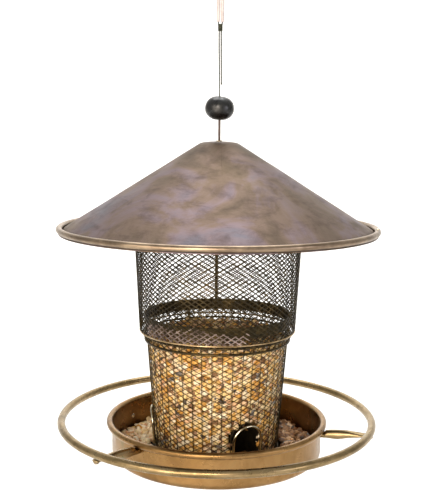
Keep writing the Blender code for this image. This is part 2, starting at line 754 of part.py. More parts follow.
def make_tray(foot):
    """The tray with rolled rim and drain holes, the screws that hold the cage on it, and its loose seed."""
    corner = TRAY_WALL_R - TRAY_FILLET
    profile = []
    for degrees in (-50, 0, 45, 90, 135, 180):
        angle = math.radians(degrees)
        line_r = TRAY_ROLL_R - SHEET / 2
        profile.append(
            (TRAY_R - TRAY_ROLL_R + line_r * math.cos(angle), TRAY_RIM_Z + line_r * math.sin(angle))
        )
    floor_line = TRAY_FOOT + SHEET / 2
    for degrees in (0, -45, -90):
        angle = math.radians(degrees)
        profile.append(
            (
                corner + TRAY_FILLET * math.cos(angle),
                floor_line + TRAY_FILLET + TRAY_FILLET * math.sin(angle),
            )
        )
    panel_r = FOOT_SCREW_RING_R - FOOT_SCREW_HEAD_R - PANEL_MARGIN
    profile.append((panel_r, floor_line))
    profile.append((0.0, floor_line))
    dish = turned("tray_dish", profile, TRAY_BRONZE, WIDE_TURN, closed=False)
    thicken(dish, SHEET)

    for i in range(6):
        angle = math.radians(28 + 60 * i)
        hole = upright(*polar(angle, DRAIN_RING_R, floor_line))
        cut(dish, rod("drain_" + str(i + 1), DRAIN_R, 6 * MM, hole, None, 12, CUTTERS))

    head_z = TRAY_FOOT - GAP
    flange_top = FLOOR_TOP + GAP + SHEET
    for number, angle in enumerate(SCREW_ANGLES, 1):
        tag = str(number)
        place = polar(angle, FOOT_SCREW_RING_R)
        for solid, label in ((dish, "dish"), (foot, "foot")):
            hole = upright(place.x, place.y, floor_line)
            cut(solid, rod("hole_" + label + tag, FOOT_SCREW_R + GAP, 12 * MM, hole, None, 12, CUTTERS))
        flip = upright(place.x, place.y, head_z) @ Matrix.Rotation(math.pi, 4, "X")
        screw_name = "foot_screw_" + tag
        fastener(screw_name, FOOT_SCREW_HEAD_R, FOOT_SCREW_HEAD_H, FOOT_SCREW_R, FOOT_SCREW_L, flip, RIVET)
        bore = FOOT_SCREW_R + GAP
        nut = turned(
            "foot_nut_" + tag,
            [
                (bore, flange_top + GAP + NUT_H),
                (NUT_R, flange_top + GAP + NUT_H),
                (NUT_R, flange_top + GAP),
                (bore, flange_top + GAP),
            ],
            RIVET,
            6,
        )
        nut.location = (place.x, place.y, 0.0)

    seed_in = max(FOOT_FLANGE_R, FOOT_SCREW_RING_R + NUT_R) + 2 * MM
    seed_out = corner + GAP
    base = FLOOR_TOP + GAP
    crest = (seed_in + seed_out) / 2
    turned(
        "tray_seed",
        [
            (seed_in + 4 * MM, base + TRAY_SEED_H * 0.85),
            (crest, base + TRAY_SEED_H),
            (seed_out, base + TRAY_SEED_H * 0.75),
            (seed_out, base + TRAY_FILLET * 0.5),
            (seed_out - 2 * MM, base),
            (seed_in, base),
        ],
        SEED,
        CAGE_TURN,
    )
    rivet_z = TRAY_FOOT + TRAY_DEPTH * 0.5
    inside = TRAY_WALL_R - SHEET / 2 - GAP
    place = facing(TRAY_RIVET_ANGLE + math.pi, -inside, rivet_z)
    fastener("tray_rivet", TRAY_RIVET_HEAD_R, TRAY_RIVET_HEAD_H, TRAY_RIVET_HEAD_R / 2, GAP / 3, place, RIVET)
    return dish


def make_perch(dish):
    """The perch ring on its three spokes, bolted to the tray's wall and riveted under the ring."""
    ring("perch_ring", PERCH_LINE_R, PERCH_Z, PERCH_TUBE_R, PEWTER, WIDE_TURN, 8)
    wall_out = TRAY_WALL_R + SHEET / 2
    start = wall_out + GAP
    tongue_z = PERCH_Z - PERCH_TUBE_R - GAP - TONGUE_T / 2
    root_z = TRAY_RIM_Z - TRAY_ROLL_R - GAP - SPOKE_ROOT_T / 2
    clear_rim = TRAY_R + GAP
    arm_z = root_z - SPOKE_ROOT_T / 2 + SPOKE_T / 2
    span = PERCH_LINE_R - TRAY_R
    stations = [
        (start, root_z, SPOKE_W * 0.86, SPOKE_ROOT_T),
        (clear_rim - 1.2 * MM, root_z, SPOKE_W * 0.92, SPOKE_ROOT_T),
        (clear_rim + 1.2 * MM, arm_z - 0.6 * MM, SPOKE_W, SPOKE_T - 1.2 * MM),
        (TRAY_R + span * 0.28, arm_z - 0.3 * MM, SPOKE_W, SPOKE_T),
        (TRAY_R + span * 0.5, (arm_z + tongue_z) / 2, SPOKE_W, SPOKE_T * 0.8),
        (TRAY_R + span * 0.76, tongue_z - 0.4 * MM, TONGUE_W * 0.92, SPOKE_T * 0.5),
        (TRAY_R + span * 0.9, tongue_z, TONGUE_W, TONGUE_T),
        (PERCH_LINE_R + 1.5 * MM, tongue_z, TONGUE_W * 0.8, TONGUE_T),
        (PERCH_LINE_R + 3.2 * MM, tongue_z, TONGUE_W * 0.4, TONGUE_T * 0.9),
    ]
    circle = [(math.cos(math.tau * i / 12), math.sin(math.tau * i / 12)) for i in range(12)]
    for number, angle in enumerate(SPOKE_ANGLES, 1):
        tag = str(number)
        sections = []
        for radius, z, width, height in stations:
            sections.append(([(x * width / 2, -z + y * height / 2) for x, y in circle], radius))
        lay = Matrix(((0, 0, 1, 0), (1, 0, 0, 0), (0, -1, 0, 0), (0, 0, 0, 1)))
        spoke = loft("spoke_" + tag, sections, PEWTER, matrix=Matrix.Rotation(angle, 4, "Z") @ lay)

        hole = facing(angle, start, root_z)
        cut(dish, rod("hole_bolt_" + tag, BOLT_R + GAP, 8 * MM, hole, None, 12, CUTTERS))
        cut(spoke, rod("bore_bolt_" + tag, BOLT_R + GAP, 2 * BOLT_L, hole, None, 12, CUTTERS))
        inside = wall_out - 2 * SHEET - GAP
        place = facing(angle + math.pi, -inside, root_z)
        fastener("spoke_bolt_" + tag, BOLT_HEAD_R, BOLT_HEAD_H, BOLT_R, BOLT_L, place, RIVET)

        under = tongue_z - TONGUE_T / 2 - GAP
        hole = upright(*polar(angle, PERCH_LINE_R - 0.5 * MM, tongue_z))
        cut(spoke, rod("bore_rivet_" + tag, RIVET_R + GAP, 2 * TONGUE_T, hole, None, 12, CUTTERS))
        place = upright(*polar(angle, PERCH_LINE_R - 0.5 * MM, under)) @ Matrix.Rotation(math.pi, 4, "X")
        rivet_name = "ring_rivet_" + tag
        fastener(rivet_name, RING_RIVET_HEAD_R, RING_RIVET_HEAD_H, RIVET_R, TONGUE_T + GAP, place, RIVET)


make_cable()
make_bead()
make_roof()
make_upper_cage()
foot_ring = make_lower_cage()
tray = make_tray(foot_ring)
make_perch(tray)
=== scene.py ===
"""Looks of a hanging bird feeder: bronze roof, wire seed cage, seed tray and perch ring on a steel cable."""

import math
import random

import bpy
import numpy as np
from mathutils import Matrix, Vector, noise


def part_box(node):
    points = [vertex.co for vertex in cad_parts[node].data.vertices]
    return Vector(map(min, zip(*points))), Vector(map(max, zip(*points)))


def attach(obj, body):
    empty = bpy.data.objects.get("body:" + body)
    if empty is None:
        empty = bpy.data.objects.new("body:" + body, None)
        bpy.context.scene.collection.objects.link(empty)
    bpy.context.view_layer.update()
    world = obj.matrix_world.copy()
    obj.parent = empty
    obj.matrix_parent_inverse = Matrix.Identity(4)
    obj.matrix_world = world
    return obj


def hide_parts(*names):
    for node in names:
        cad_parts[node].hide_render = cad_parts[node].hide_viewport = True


bl_info = {
    "name": "Hanging Bird Feeder",
    "version": (1, 0, 0),
    "blender": (4, 5, 0),
    "location": "View3D > Sidebar > Feeder",
    "description": "Builds the finished surfaces of a hanging bird feeder over its packed frame",
    "category": "Add Mesh",
}

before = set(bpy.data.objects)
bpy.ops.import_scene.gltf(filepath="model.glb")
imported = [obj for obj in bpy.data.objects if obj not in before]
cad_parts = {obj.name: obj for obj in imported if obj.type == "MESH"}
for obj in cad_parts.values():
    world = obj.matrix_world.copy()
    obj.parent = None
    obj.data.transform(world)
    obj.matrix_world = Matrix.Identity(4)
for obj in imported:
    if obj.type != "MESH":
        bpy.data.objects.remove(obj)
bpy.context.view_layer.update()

MM = 0.001
GAP = 0.3 * MM
SHEET = 0.8 * MM
WIRE_SIDES = 5
HOOP_WIRE_R = 1.6 * MM
LIP_WIRE_R = 1.0 * MM
SHOULDER_H = 6.6 * MM
SHOULDER_REACH = 4.4 * MM
RNG = random.Random(41)

# Places read from the frame
CONE_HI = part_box("roof_cone")[1]
RIM_LO, RIM_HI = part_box("roof_rim")
HOOP_LO, HOOP_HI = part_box("top_hoop")
LIP_LO, LIP_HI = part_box("lip_ring")
LOWER_LO, LOWER_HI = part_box("lower_mesh")
COLLAR_LO, COLLAR_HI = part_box("collar_band")
STOP_LO, STOP_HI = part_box("stop_ring")
FOOT_LO, FOOT_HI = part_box("foot_ring")
TRAY_LO, TRAY_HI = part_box("tray_dish")
PERCH_LO, PERCH_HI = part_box("perch_ring")
BEAD_LO, BEAD_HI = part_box("stop_bead")
BAR_LO, BAR_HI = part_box("hanger_bar")
SEED_LO, SEED_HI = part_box("seed_fill")
CRUMB_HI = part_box("tray_seed")[1]
JACKET_LO, JACKET_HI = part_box("cable_jacketed")
CRIMP_LO, CRIMP_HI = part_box("crimp_ferrule")
WASHER_LO, WASHER_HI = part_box("anchor_washer")
ANCHOR_LO, ANCHOR_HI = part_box("cable_anchor")
GROMMET_LO, GROMMET_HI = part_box("apex_grommet")

RIM_Z = (RIM_LO.z + RIM_HI.z) / 2
RIM_TUBE_R = (RIM_HI.z - RIM_LO.z) / 2
ROOF_R = RIM_HI.x
APEX_Z = CONE_HI.z
GROOVE_R = ROOF_R - 2 * RIM_TUBE_R - 1.1 * MM
ROOF_TIP_R = 16.5 * MM
ROOF_CROWN = 1.6 * MM
LOWER_TOP = LOWER_HI.z
LOWER_FOOT = LOWER_LO.z
LOWER_TOP_R = 63.3 * MM
LOWER_FOOT_R = 53.5 * MM
FLOOR_TOP = TRAY_LO.z + SHEET
TRAY_R = TRAY_HI.x
TRAY_ROLL_R = 2.8 * MM
TRAY_RIM_Z = TRAY_HI.z - TRAY_ROLL_R
TRAY_WALL_R = TRAY_R - 2 * TRAY_ROLL_R + SHEET / 2
PERCH_TUBE_R = (PERCH_HI.z - PERCH_LO.z) / 2
PERCH_Z = (PERCH_HI.z + PERCH_LO.z) / 2
PERCH_LINE_R = PERCH_HI.x - PERCH_TUBE_R
HOOP_Z = (HOOP_LO.z + HOOP_HI.z) / 2
HOOP_R = HOOP_HI.x - HOOP_WIRE_R
LIP_Z = (LIP_LO.z + LIP_HI.z) / 2
LIP_R = LIP_HI.x - LIP_WIRE_R
SHOULDER_FOOT_Z = LIP_Z + LIP_WIRE_R + GAP + SHEET / 2
SHOULDER_Z = SHOULDER_FOOT_Z + SHOULDER_H
UPPER_LOW_R = LIP_R + SHOULDER_REACH
PORT_ANGLES = [math.radians(a) for a in (-62.0, 58.0, 178.0)]
PORT_W = 24.0 * MM
PORT_TOP_Z = FLOOR_TOP + 38.5 * MM
SILL_Z = FLOOR_TOP + 8.5 * MM
SPOKE_ANGLES = [math.radians(a) for a in (-14.0, 106.0, 226.0)]
LAP_ANGLE = math.radians(-87.0)


def linear(tone):
    """A colour as linear light: an sRGB hex text is converted, a setting's colour already is linear."""
    if not isinstance(tone, str):
        return list(tone)
    values = [int(tone[i : i + 2], 16) / 255 for i in (1, 3, 5)]
    return [v / 12.92 if v <= 0.04045 else ((v + 0.055) / 1.055) ** 2.4 for v in values]


def add(tree, kind, links=None, stops=(), **settings):
    """Add a shader node; a link's value is a plain value or another node's output.

    The stops of a colour ramp are (position, colour).
    """
    made = tree.nodes.new(kind)
    for key, value in settings.items():
        setattr(made, key, value)
    for key, value in (links or {}).items():
        if isinstance(value, bpy.types.NodeSocket):
            tree.links.new(value, made.inputs[key])
        else:
            made.inputs[key].default_value = value
    if stops:
        elements = made.color_ramp.elements
        while len(elements) < len(stops):
            elements.new(0.5)
        for element, (place, tone) in zip(elements, stops):
            element.position = place
            element.color = (*linear(tone), 1.0)
    return made


def material(name, metallic=0.0, roughness=0.5):
    """A new Principled material with its tree and shader."""
    made = bpy.data.materials.new(name)
    made.use_nodes = True
    shader = made.node_tree.nodes["Principled BSDF"]
    shader.inputs["Metallic"].default_value = metallic
    shader.inputs["Roughness"].default_value = roughness
    return made, made.node_tree, shader


def grain(tree, shader, place, scale, strength, distance):
    """Fine relief from noise of a given scale per metre."""
    fine = add(tree, "ShaderNodeTexNoise", {"Vector": place, "Scale": scale, "Detail": 4.0})
    relief = {"Height": fine.outputs["Fac"], "Strength": strength, "Distance": distance}
    bump = add(tree, "ShaderNodeBump", relief)
    tree.links.new(bump.outputs["Normal"], shader.inputs["Normal"])


def patinated_steel(name, stops, patch_mm, rough_low, rough_high):
    """Spun sheet with a rubbed bronze patina: cloudy tones some centimetres wide."""
    made, tree, shader = material(name, 1.0, (rough_low + rough_high) / 2)
    place = add(tree, "ShaderNodeTexCoord").outputs["Object"]
    clouds = add(
        tree,
        "ShaderNodeTexNoise",
        {"Vector": place, "Scale": 1000.0 / patch_mm, "Detail": 7.0, "Roughness": 0.62, "Distortion": 0.5},
    )
    tones = add(tree, "ShaderNodeValToRGB", {"Fac": clouds.outputs["Fac"]}, stops)
    tree.links.new(tones.outputs["Color"], shader.inputs["Base Color"])
    wear_and_painted_highlight = add(tree, "ShaderNodeTexNoise", {"Vector": place, "Scale": 4000.0 / patch_mm, "Detail": 6.0})
    gloss = add(
        tree,
        "ShaderNodeMapRange",
        {
            "Value": wear_and_painted_highlight.outputs["Fac"],
            "From Min": 0.3,
            "From Max": 0.7,
            "To Min": rough_low,
            "To Max": rough_high,
        },
    )
    tree.links.new(gloss.outputs["Result"], shader.inputs["Roughness"])
    grain(tree, shader, place, 900.0, 0.12, 0.0003)
    return made


def roof_metal(settings):
    """Bronze-washed steel, spun and rubbed back: brown and lilac clouds, straw-gold rubs, dark stains."""
    made, tree, shader = material("spun_bronze_washed_steel", 0.85, 0.5)
    place = add(tree, "ShaderNodeTexCoord").outputs["Object"]
    wide = add(
        tree,
        "ShaderNodeTexNoise",
        {"Vector": place, "Scale": 17.0, "Detail": 5.0, "Roughness": 0.55, "Distortion": 0.8},
    )
    browns = [(0.30, "#4b3e33"), (0.42, "#5f5042"), (0.50, "#6a594d"), (0.58, "#706163"), (0.70, "#656067")]
    base = add(tree, "ShaderNodeValToRGB", {"Fac": wide.outputs["Fac"]}, browns)
    rub = add(
        tree,
        "ShaderNodeTexNoise",
        {"Vector": place, "Scale": 11.0, "Detail": 3.0, "W": 3.0},
        noise_dimensions="4D",
    )
    rub_mask = [(0.54, "#000000"), (0.76, "#b0b0b0")]
    rubbed = add(tree, "ShaderNodeValToRGB", {"Fac": rub.outputs["Fac"]}, rub_mask)
    gold = add(
        tree,
        "ShaderNodeMix",
        {"Factor": rubbed.outputs["Color"], "A": base.outputs["Color"], "B": (*settings.roof_rub, 1.0)},
        data_type="RGBA",
    )
    flat = add(tree, "ShaderNodeMapping", {"Vector": place, "Scale": (1.0, 1.0, 2.2)}).outputs["Vector"]
    stain = add(
        tree,
        "ShaderNodeTexNoise",
        {"Vector": flat, "Scale": 42.0, "Detail": 8.0, "Roughness": 0.7, "Distortion": 0.4},
    )
    stain_mask = [(0.36, "#a8a8a8"), (0.52, "#000000")]
    stained = add(tree, "ShaderNodeValToRGB", {"Fac": stain.outputs["Fac"]}, stain_mask)
    dark = add(
        tree,
        "ShaderNodeMix",
        {"Factor": stained.outputs["Color"], "A": gold.outputs["Result"], "B": (*settings.roof_stain, 1.0)},
        data_type="RGBA",
    )
    tree.links.new(dark.outputs["Result"], shader.inputs["Base Color"])
    gloss = add(
        tree,
        "ShaderNodeMapRange",
        {"Value": stain.outputs["Fac"], "From Min": 0.3, "From Max": 0.7, "To Min": 0.6, "To Max": 0.48},
    )
    tree.links.new(gloss.outputs["Result"], shader.inputs["Roughness"])
    grain(tree, shader, flat, 260.0, 0.25, 0.0004)
    return made


def wire_metal(settings):
    """Oil-rubbed bronze on drawn steel wire: a dark olive brown that glints where it turns to the light."""
    made, tree, shader = material("oil_rubbed_bronze_wire", 0.75, 0.42)
    place = add(tree, "ShaderNodeTexCoord").outputs["Object"]
    cloud = add(tree, "ShaderNodeTexNoise", {"Vector": place, "Scale": 120.0, "Detail": 4.0})
    stops = [(0.35, "#2b2413"), (0.55, settings.wire_tone), (0.70, "#5b4a2b")]
    tones = add(tree, "ShaderNodeValToRGB", {"Fac": cloud.outputs["Fac"]}, stops)
    tree.links.new(tones.outputs["Color"], shader.inputs["Base Color"])
    return made


def kernel_stuff(name, stops, roughness):
    """Dry seed or cracked corn: each kernel its own tone, mottled, with a waxy skin."""
    made, tree, shader = material(name, 0.0, roughness)
    place = add(tree, "ShaderNodeTexCoord").outputs["Object"]
    each = add(tree, "ShaderNodeNewGeometry").outputs["Random Per Island"]
    tone = add(tree, "ShaderNodeValToRGB", {"Fac": each}, stops)
    spots = add(tree, "ShaderNodeTexNoise", {"Vector": place, "Scale": 420.0, "Detail": 4.0})
    shade = add(
        tree,
        "ShaderNodeMapRange",
        {"Value": spots.outputs["Fac"], "From Min": 0.3, "From Max": 0.7, "To Min": 0.72, "To Max": 1.08},
    )
    mottled = add(
        tree,
        "ShaderNodeVectorMath",
        {0: tone.outputs["Color"], 1: shade.outputs["Result"]},
        operation="MULTIPLY",
    )
    tree.links.new(mottled.outputs["Vector"], shader.inputs["Base Color"])
    shader.inputs["Specular IOR Level"].default_value = 0.35
    grain(tree, shader, place, 900.0, 0.25, 0.0002)
    return made


def painted_wood(settings):
    """Turned wood under black satin paint, scuffed grey where it has rubbed."""
    made, tree, shader = material("black_painted_wood", 0.0, 0.3)
    place = add(tree, "ShaderNodeTexCoord").outputs["Object"]
    rough = {"Vector": place, "Scale": 170.0, "Detail": 6.0, "Roughness": 0.7}
    scuff = add(tree, "ShaderNodeTexNoise", rough)
    stops = [(0.56, settings.bead_paint), (0.68, "#141516"), (0.78, "#77706a")]
    tone = add(tree, "ShaderNodeValToRGB", {"Fac": scuff.outputs["Fac"]}, stops)
    tree.links.new(tone.outputs["Color"], shader.inputs["Base Color"])
    wear_and_painted_highlight = add(
        tree,
        "ShaderNodeMapRange",
        {"Value": scuff.outputs["Fac"], "From Min": 0.4, "From Max": 0.7, "To Min": 0.24, "To Max": 0.6},
    )
    tree.links.new(wear_and_painted_highlight.outputs["Result"], shader.inputs["Roughness"])
    grain(tree, shader, place, 260.0, 0.3, 0.0003)
    return made


def plain_finish(name, tone_a, tone_b, scale, metallic, roughness, relief):
    """A two-tone finish with fine relief, for the small parts."""
    made, tree, shader = material(name, metallic, roughness)
    place = add(tree, "ShaderNodeTexCoord").outputs["Object"]
    cloud = add(tree, "ShaderNodeTexNoise", {"Vector": place, "Scale": scale, "Detail": 4.0})
    stops = [(0.35, tone_a), (0.65, tone_b)]
    tones = add(tree, "ShaderNodeValToRGB", {"Fac": cloud.outputs["Fac"]}, stops)
    tree.links.new(tones.outputs["Color"], shader.inputs["Base Color"])
    grain(tree, shader, place, scale * 4, relief, 0.0002)
    return made


FINISHES = {}


def make_finishes(settings):
    """Every finish of the feeder, made once."""
    FINISHES["roof"] = roof_metal(settings)
    # Rolled edge of the same washed steel, rubbed brighter by handling
    FINISHES["rim"] = patinated_steel(
        "rolled_bronze_washed_rim", [(0.3, "#6f5e4d"), (0.5, "#8a7865"), (0.7, "#a8947c")], 22.0, 0.28, 0.42
    )
    FINISHES["wire"] = wire_metal(settings)
    # Pale copper on the same wire: a painted highlight on the front wires above the shoulder
    FINISHES["wire_worn"] = plain_finish("painted_highlight_copper_wire", "#5f4e45", "#b5a197", 160.0, 0.8, 0.42, 0.1)
    # Bare bronze where the lip is rubbed by the tier that slides in it
    # Pale bronze for the bend hoop at the shoulder: a painted highlight along the bend
    FINISHES["lip"] = patinated_steel(
        "painted_highlight_bronze_bend", [(0.3, "#8a6f4a"), (0.55, "#b79c74"), (0.75, "#dcc6a3")], 16.0, 0.24, 0.4
    )
    # Pressed steel tray with a warm bronze lacquer, satin
    FINISHES["tray"] = patinated_steel(
        "bronze_lacquered_tray",
        [(0.28, "#674d30"), (0.45, settings.tray_tone), (0.58, "#97764c"), (0.74, "#7f7350")],
        38.0,
        0.24,
        0.38,
    )
    # Bent steel tube, the same lacquer worn a little greyer by claws
    FINISHES["perch"] = patinated_steel(
        "bronze_lacquered_tube",
        [(0.28, "#665639"), (0.45, settings.perch_tone), (0.60, "#9a8562"), (0.74, "#867e60")],
        26.0,
        0.22,
        0.38,
    )
    # Nickelled fasteners, lightly tarnished
    FINISHES["fastener"] = plain_finish("tarnished_nickel", "#a3937c", "#d8ccb8", 300.0, 1.0, 0.26, 0.06)
    # Polished bronze wire of the port frames
    FINISHES["port"] = plain_finish("polished_bronze_edge", "#a59878", "#e3dcc6", 180.0, 1.0, 0.2, 0.05)
    # Hood of the same sheet, dull and near black: painted shade in the hollow behind each port
    FINISHES["hood"] = plain_finish("painted_shade_bronze_hood", "#1d180f", "#2e2718", 150.0, 0.7, 0.5, 0.15)
    # Galvanised strand: dull zinc grey
    FINISHES["strand"] = plain_finish("galvanised_strand", "#4e4e4c", "#6f6f6c", 900.0, 0.9, 0.45, 0.1)
    # Brown extruded PVC over the lower cable
    FINISHES["jacket"] = plain_finish(
        "brown_pvc_jacket", "#3d2a24", settings.jacket_tone, 500.0, 0.0, 0.45, 0.05
    )
    # Milky vinyl sleeve that pads the loop
    FINISHES["sleeve"] = plain_finish(
        "milky_vinyl_sleeve", "#b3a8a6", settings.sleeve_tone, 260.0, 0.0, 0.25, 0.04
    )
    # Blackened aluminium ferrule with an olive cast
    FINISHES["crimp"] = plain_finish("blackened_ferrule", "#23261a", "#383a29", 700.0, 0.6, 0.38, 0.2)
    FINISHES["bead"] = painted_wood(settings)
    FINISHES["seed_gold"] = kernel_stuff(
        "cracked_corn",
        [(0.0, "#c98d3c"), (0.3, "#dfa856"), (0.6, "#ebc278"), (1.0, "#f0d49a")],
        0.5,
    )
    FINISHES["seed_cream"] = kernel_stuff(
        "shelled_peanut", [(0.0, "#ecc98f"), (0.4, "#f8dfae"), (0.8, "#fdeccb"), (1.0, "#f0d3a4")], 0.45
    )
    FINISHES["seed_peach"] = kernel_stuff(
        "hulled_oat", [(0.0, "#e0ab7c"), (0.5, "#f0c79b"), (1.0, "#fadcb6")], 0.55
    )
    FINISHES["seed_brown"] = kernel_stuff(
        "brown_millet", [(0.0, "#7a5434"), (0.4, "#97704c"), (0.8, "#b48a62"), (1.0, "#8a6e5c")], 0.55
    )
    FINISHES["seed_dark"] = kernel_stuff(
        "striped_sunflower_hull", [(0.0, "#4a3a2c"), (0.5, "#6f655c"), (1.0, "#9d9791")], 0.5
    )
    FINISHES["seed_dust"] = plain_finish("packed_seed_dust", "#6b4a26", "#a67a45", 300.0, 0.0, 0.9, 0.4)
    FINISHES["paper"] = plain_finish("pale_studio_sweep", "#f4f4f3", settings.paper_tone, 8.0, 0.0, 0.9, 0.0)


def piece(name, points, faces, finishes, body, replaced=(), slot=None, picks=None, smooth_over=38.0):
    """A mesh piece that rides on a body and stands for its CAD nodes."""
    mesh = bpy.data.meshes.new(name)
    mesh.from_pydata([tuple(p) for p in points], [], faces)
    for key in finishes:
        mesh.materials.append(FINISHES[key])
    if picks is not None:
        mesh.polygons.foreach_set("material_index", picks)
    mesh.shade_smooth()
    mesh.set_sharp_from_angle(angle=math.radians(smooth_over))
    mesh.update()
    made = bpy.data.objects.new(name, mesh)
    bpy.context.scene.collection.objects.link(made)
    if body is None:
        return made
    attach(made, body)
    if replaced:
        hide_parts(*replaced)
    return made


def circle_steps(count):
    """Even angles round the axis."""
    return [math.tau * i / count for i in range(count)]


def turned(outline, angles, shape=None):
    """A closed (radius, height) outline turned through angles; shape may nudge a point."""
    points = []
    for angle in angles:
        c, s = math.cos(angle), math.sin(angle)
        for r, z in outline:
            if shape is not None:
                r, z = shape(r, z, angle)
            points.append((r * c, r * s, z))
    rows, columns = len(angles), len(outline)
    faces = []
    for i in range(rows):
        k = (i + 1) % rows
        for j in range(columns):
            m = (j + 1) % columns
            faces.append((i * columns + j, k * columns + j, k * columns + m, i * columns + m))
    return points, faces


def disc_of(outline, angles):
    """Points and faces of an outline that starts and ends on the axis, turned through angles."""
    inner = outline[1:-1]
    points, faces = [], []
    for angle in angles:
        c, s = math.cos(angle), math.sin(angle)
        points.extend((r * c, r * s, z) for r, z in inner)
    rows, columns = len(angles), len(inner)
    first = len(points)
    points.append((0.0, 0.0, outline[0][1]))
    points.append((0.0, 0.0, outline[-1][1]))
    for i in range(rows):
        k = (i + 1) % rows
        faces.append((first, k * columns, i * columns)[::-1])
        faces.append((first + 1, i * columns + columns - 1, k * columns + columns - 1)[::-1])
        for j in range(columns - 1):
            faces.append((i * columns + j, k * columns + j, k * columns + j + 1, i * columns + j + 1))
    return points, faces


def arc(r0, z0, radius, start, end, steps):
    """(radius, height) points along an arc, in degrees."""
    places = []
    for i in range(steps + 1):
        angle = math.radians(start + (end - start) * i / steps)
        places.append((r0 + radius * math.cos(angle), z0 + radius * math.sin(angle)))
    return places


def shelled(line, thickness):
    """A closed outline round an open (radius, height) line, with the thickness on its right side."""
    far = []
    for i, (r, z) in enumerate(line):
        a = line[max(i - 1, 0)]
        b = line[min(i + 1, len(line) - 1)]
        length = math.hypot(b[0] - a[0], b[1] - a[1])
        far.append((r + (b[1] - a[1]) / length * thickness, z - (b[0] - a[0]) / length * thickness))
    return list(line) + far[::-1]


def skinned(rows, columns, ring=True, caps=True):
    """Faces over rows of points; each row is a ring or an open line, and rings may be capped."""
    faces = []
    for i in range(rows - 1):
        for k in range(columns if ring else columns - 1):
            m = (k + 1) % columns
            faces.append((i * columns + k, i * columns + m, (i + 1) * columns + m, (i + 1) * columns + k))
    if caps:
        faces.append(tuple(range(columns))[::-1])
        faces.append(tuple(range((rows - 1) * columns, rows * columns)))
    return faces


def tube_along(points, radius, sides):
    """Points and faces of a round bar along a line; radius may be a list."""
    line = [Vector(p) for p in points]
    count = len(line)
    made = []
    side = None
    for i, place in enumerate(line):
        ahead = (line[min(i + 1, count - 1)] - line[max(i - 1, 0)]).normalized()
        if side is None:
            side = ahead.orthogonal().normalized()
        side = (side - ahead * side.dot(ahead)).normalized()
        up = ahead.cross(side)
        r = radius[i] if isinstance(radius, (list, tuple)) else radius
        for k in range(sides):
            turn = math.tau * k / sides
            made.append(place + side * (r * math.cos(turn)) + up * (r * math.sin(turn)))
    return made, skinned(count, sides)


def joined(shapes):
    """Several (points, faces) shapes as one."""
    points, faces = [], []
    for more, rim in shapes:
        start = len(points)
        points.extend(more)
        faces.extend(tuple(i + start for i in face) for face in rim)
    return points, faces


def placed(shape, matrix):
    """A (points, faces) shape moved by a matrix."""
    return [matrix @ Vector(p) for p in shape[0]], shape[1]


def hoop(radius, z, wire_r, turns=160, sides=16):
    """A round wire ring about the axis."""
    return turned(arc(radius, z, wire_r, 0, -360 + 360 / sides, sides - 1), circle_steps(turns))


def facing(angle, radius, z):
    """A frame whose Z points outwards at an angle."""
    out = Vector((math.cos(angle), math.sin(angle), 0.0))
    side = Vector((-math.sin(angle), math.cos(angle), 0.0))
    turn = Matrix((side, Vector((0, 0, 1)), out)).transposed().to_4x4()
    turn.translation = (radius * math.cos(angle), radius * math.sin(angle), z)
    return turn


def upper_radius(z):
    """Mid radius of the upper tier's wall."""
    if z >= SHOULDER_Z:
        return UPPER_LOW_R + (HOOP_R - UPPER_LOW_R) * (z - SHOULDER_Z) / (HOOP_Z - SHOULDER_Z)
    t = (z - SHOULDER_FOOT_Z) / (SHOULDER_Z - SHOULDER_FOOT_Z)
    return LIP_R + (UPPER_LOW_R - LIP_R) * t


def lower_radius(z):
    """Mid radius of the lower tier's wall."""
    return LOWER_FOOT_R + (LOWER_TOP_R - LOWER_FOOT_R) * (z - LOWER_FOOT) / (LOWER_TOP - LOWER_FOOT)


def faced(shape):
    """A closed shape with its faces turned to face out."""
    points, faces = shape
    volume = 0.0
    for face in faces:
        a = Vector(points[face[0]])
        for k in range(1, len(face) - 1):
            volume += a.dot(Vector(points[face[k]]).cross(Vector(points[face[k + 1]])))
    if volume < 0:
        faces = [tuple(reversed(face)) for face in faces]
    return points, faces


def dome_head(head_r, head_h, shank_r, shank_l, turns=28):
    """A domed head that stands on Z = 0 over its shank."""
    outline = [(0.0, head_h)]
    for step in (75, 60, 45, 30, 15, 4):
        angle = math.radians(step)
        outline.append((head_r * math.cos(angle), head_h * math.sin(angle)))
    outline += [(head_r, 0.0), (shank_r, 0.0), (shank_r, -shank_l), (0.0, -shank_l)]
    return faced(disc_of(outline, circle_steps(turns)))


def loop_route():
    """Centreline of the hanging loop, up the left leg, round its eye and down the right leg."""
    eye_r, sleeve_r, neck_drop, foot_drop, half_gap = 6.5 * MM, 1.6 * MM, 20 * MM, 37.5 * MM, 1.75 * MM
    centre = sleeve_r - eye_r
    tip = math.radians(-20)
    neck = Vector((eye_r * math.cos(tip), centre + eye_r * math.sin(tip)))
    leg = Vector((half_gap, -neck_drop))
    pull = (neck.y - leg.y) * 0.42
    reach_a = neck + pull * Vector((math.sin(tip), -math.cos(tip)))
    reach_b = leg + pull * Vector((0, 1))
    half = []
    for i in range(21):
        angle = math.radians(90) + (tip - math.radians(90)) * i / 20
        half.append((eye_r * math.cos(angle), centre + eye_r * math.sin(angle)))
    for i in range(1, 17):
        t = i / 16
        place = neck * (1 - t) ** 3 + leg * t**3 + (reach_a * (1 - t) + reach_b * t) * 3 * t * (1 - t)
        half.append((place.x, place.y))
    for i in range(1, 9):
        half.append((leg.x, leg.y - (foot_drop - neck_drop) * i / 8))
    left = [(-x, 0.0, z) for x, z in reversed(half)]
    return left[:-1] + [(x, 0.0, z) for x, z in half]


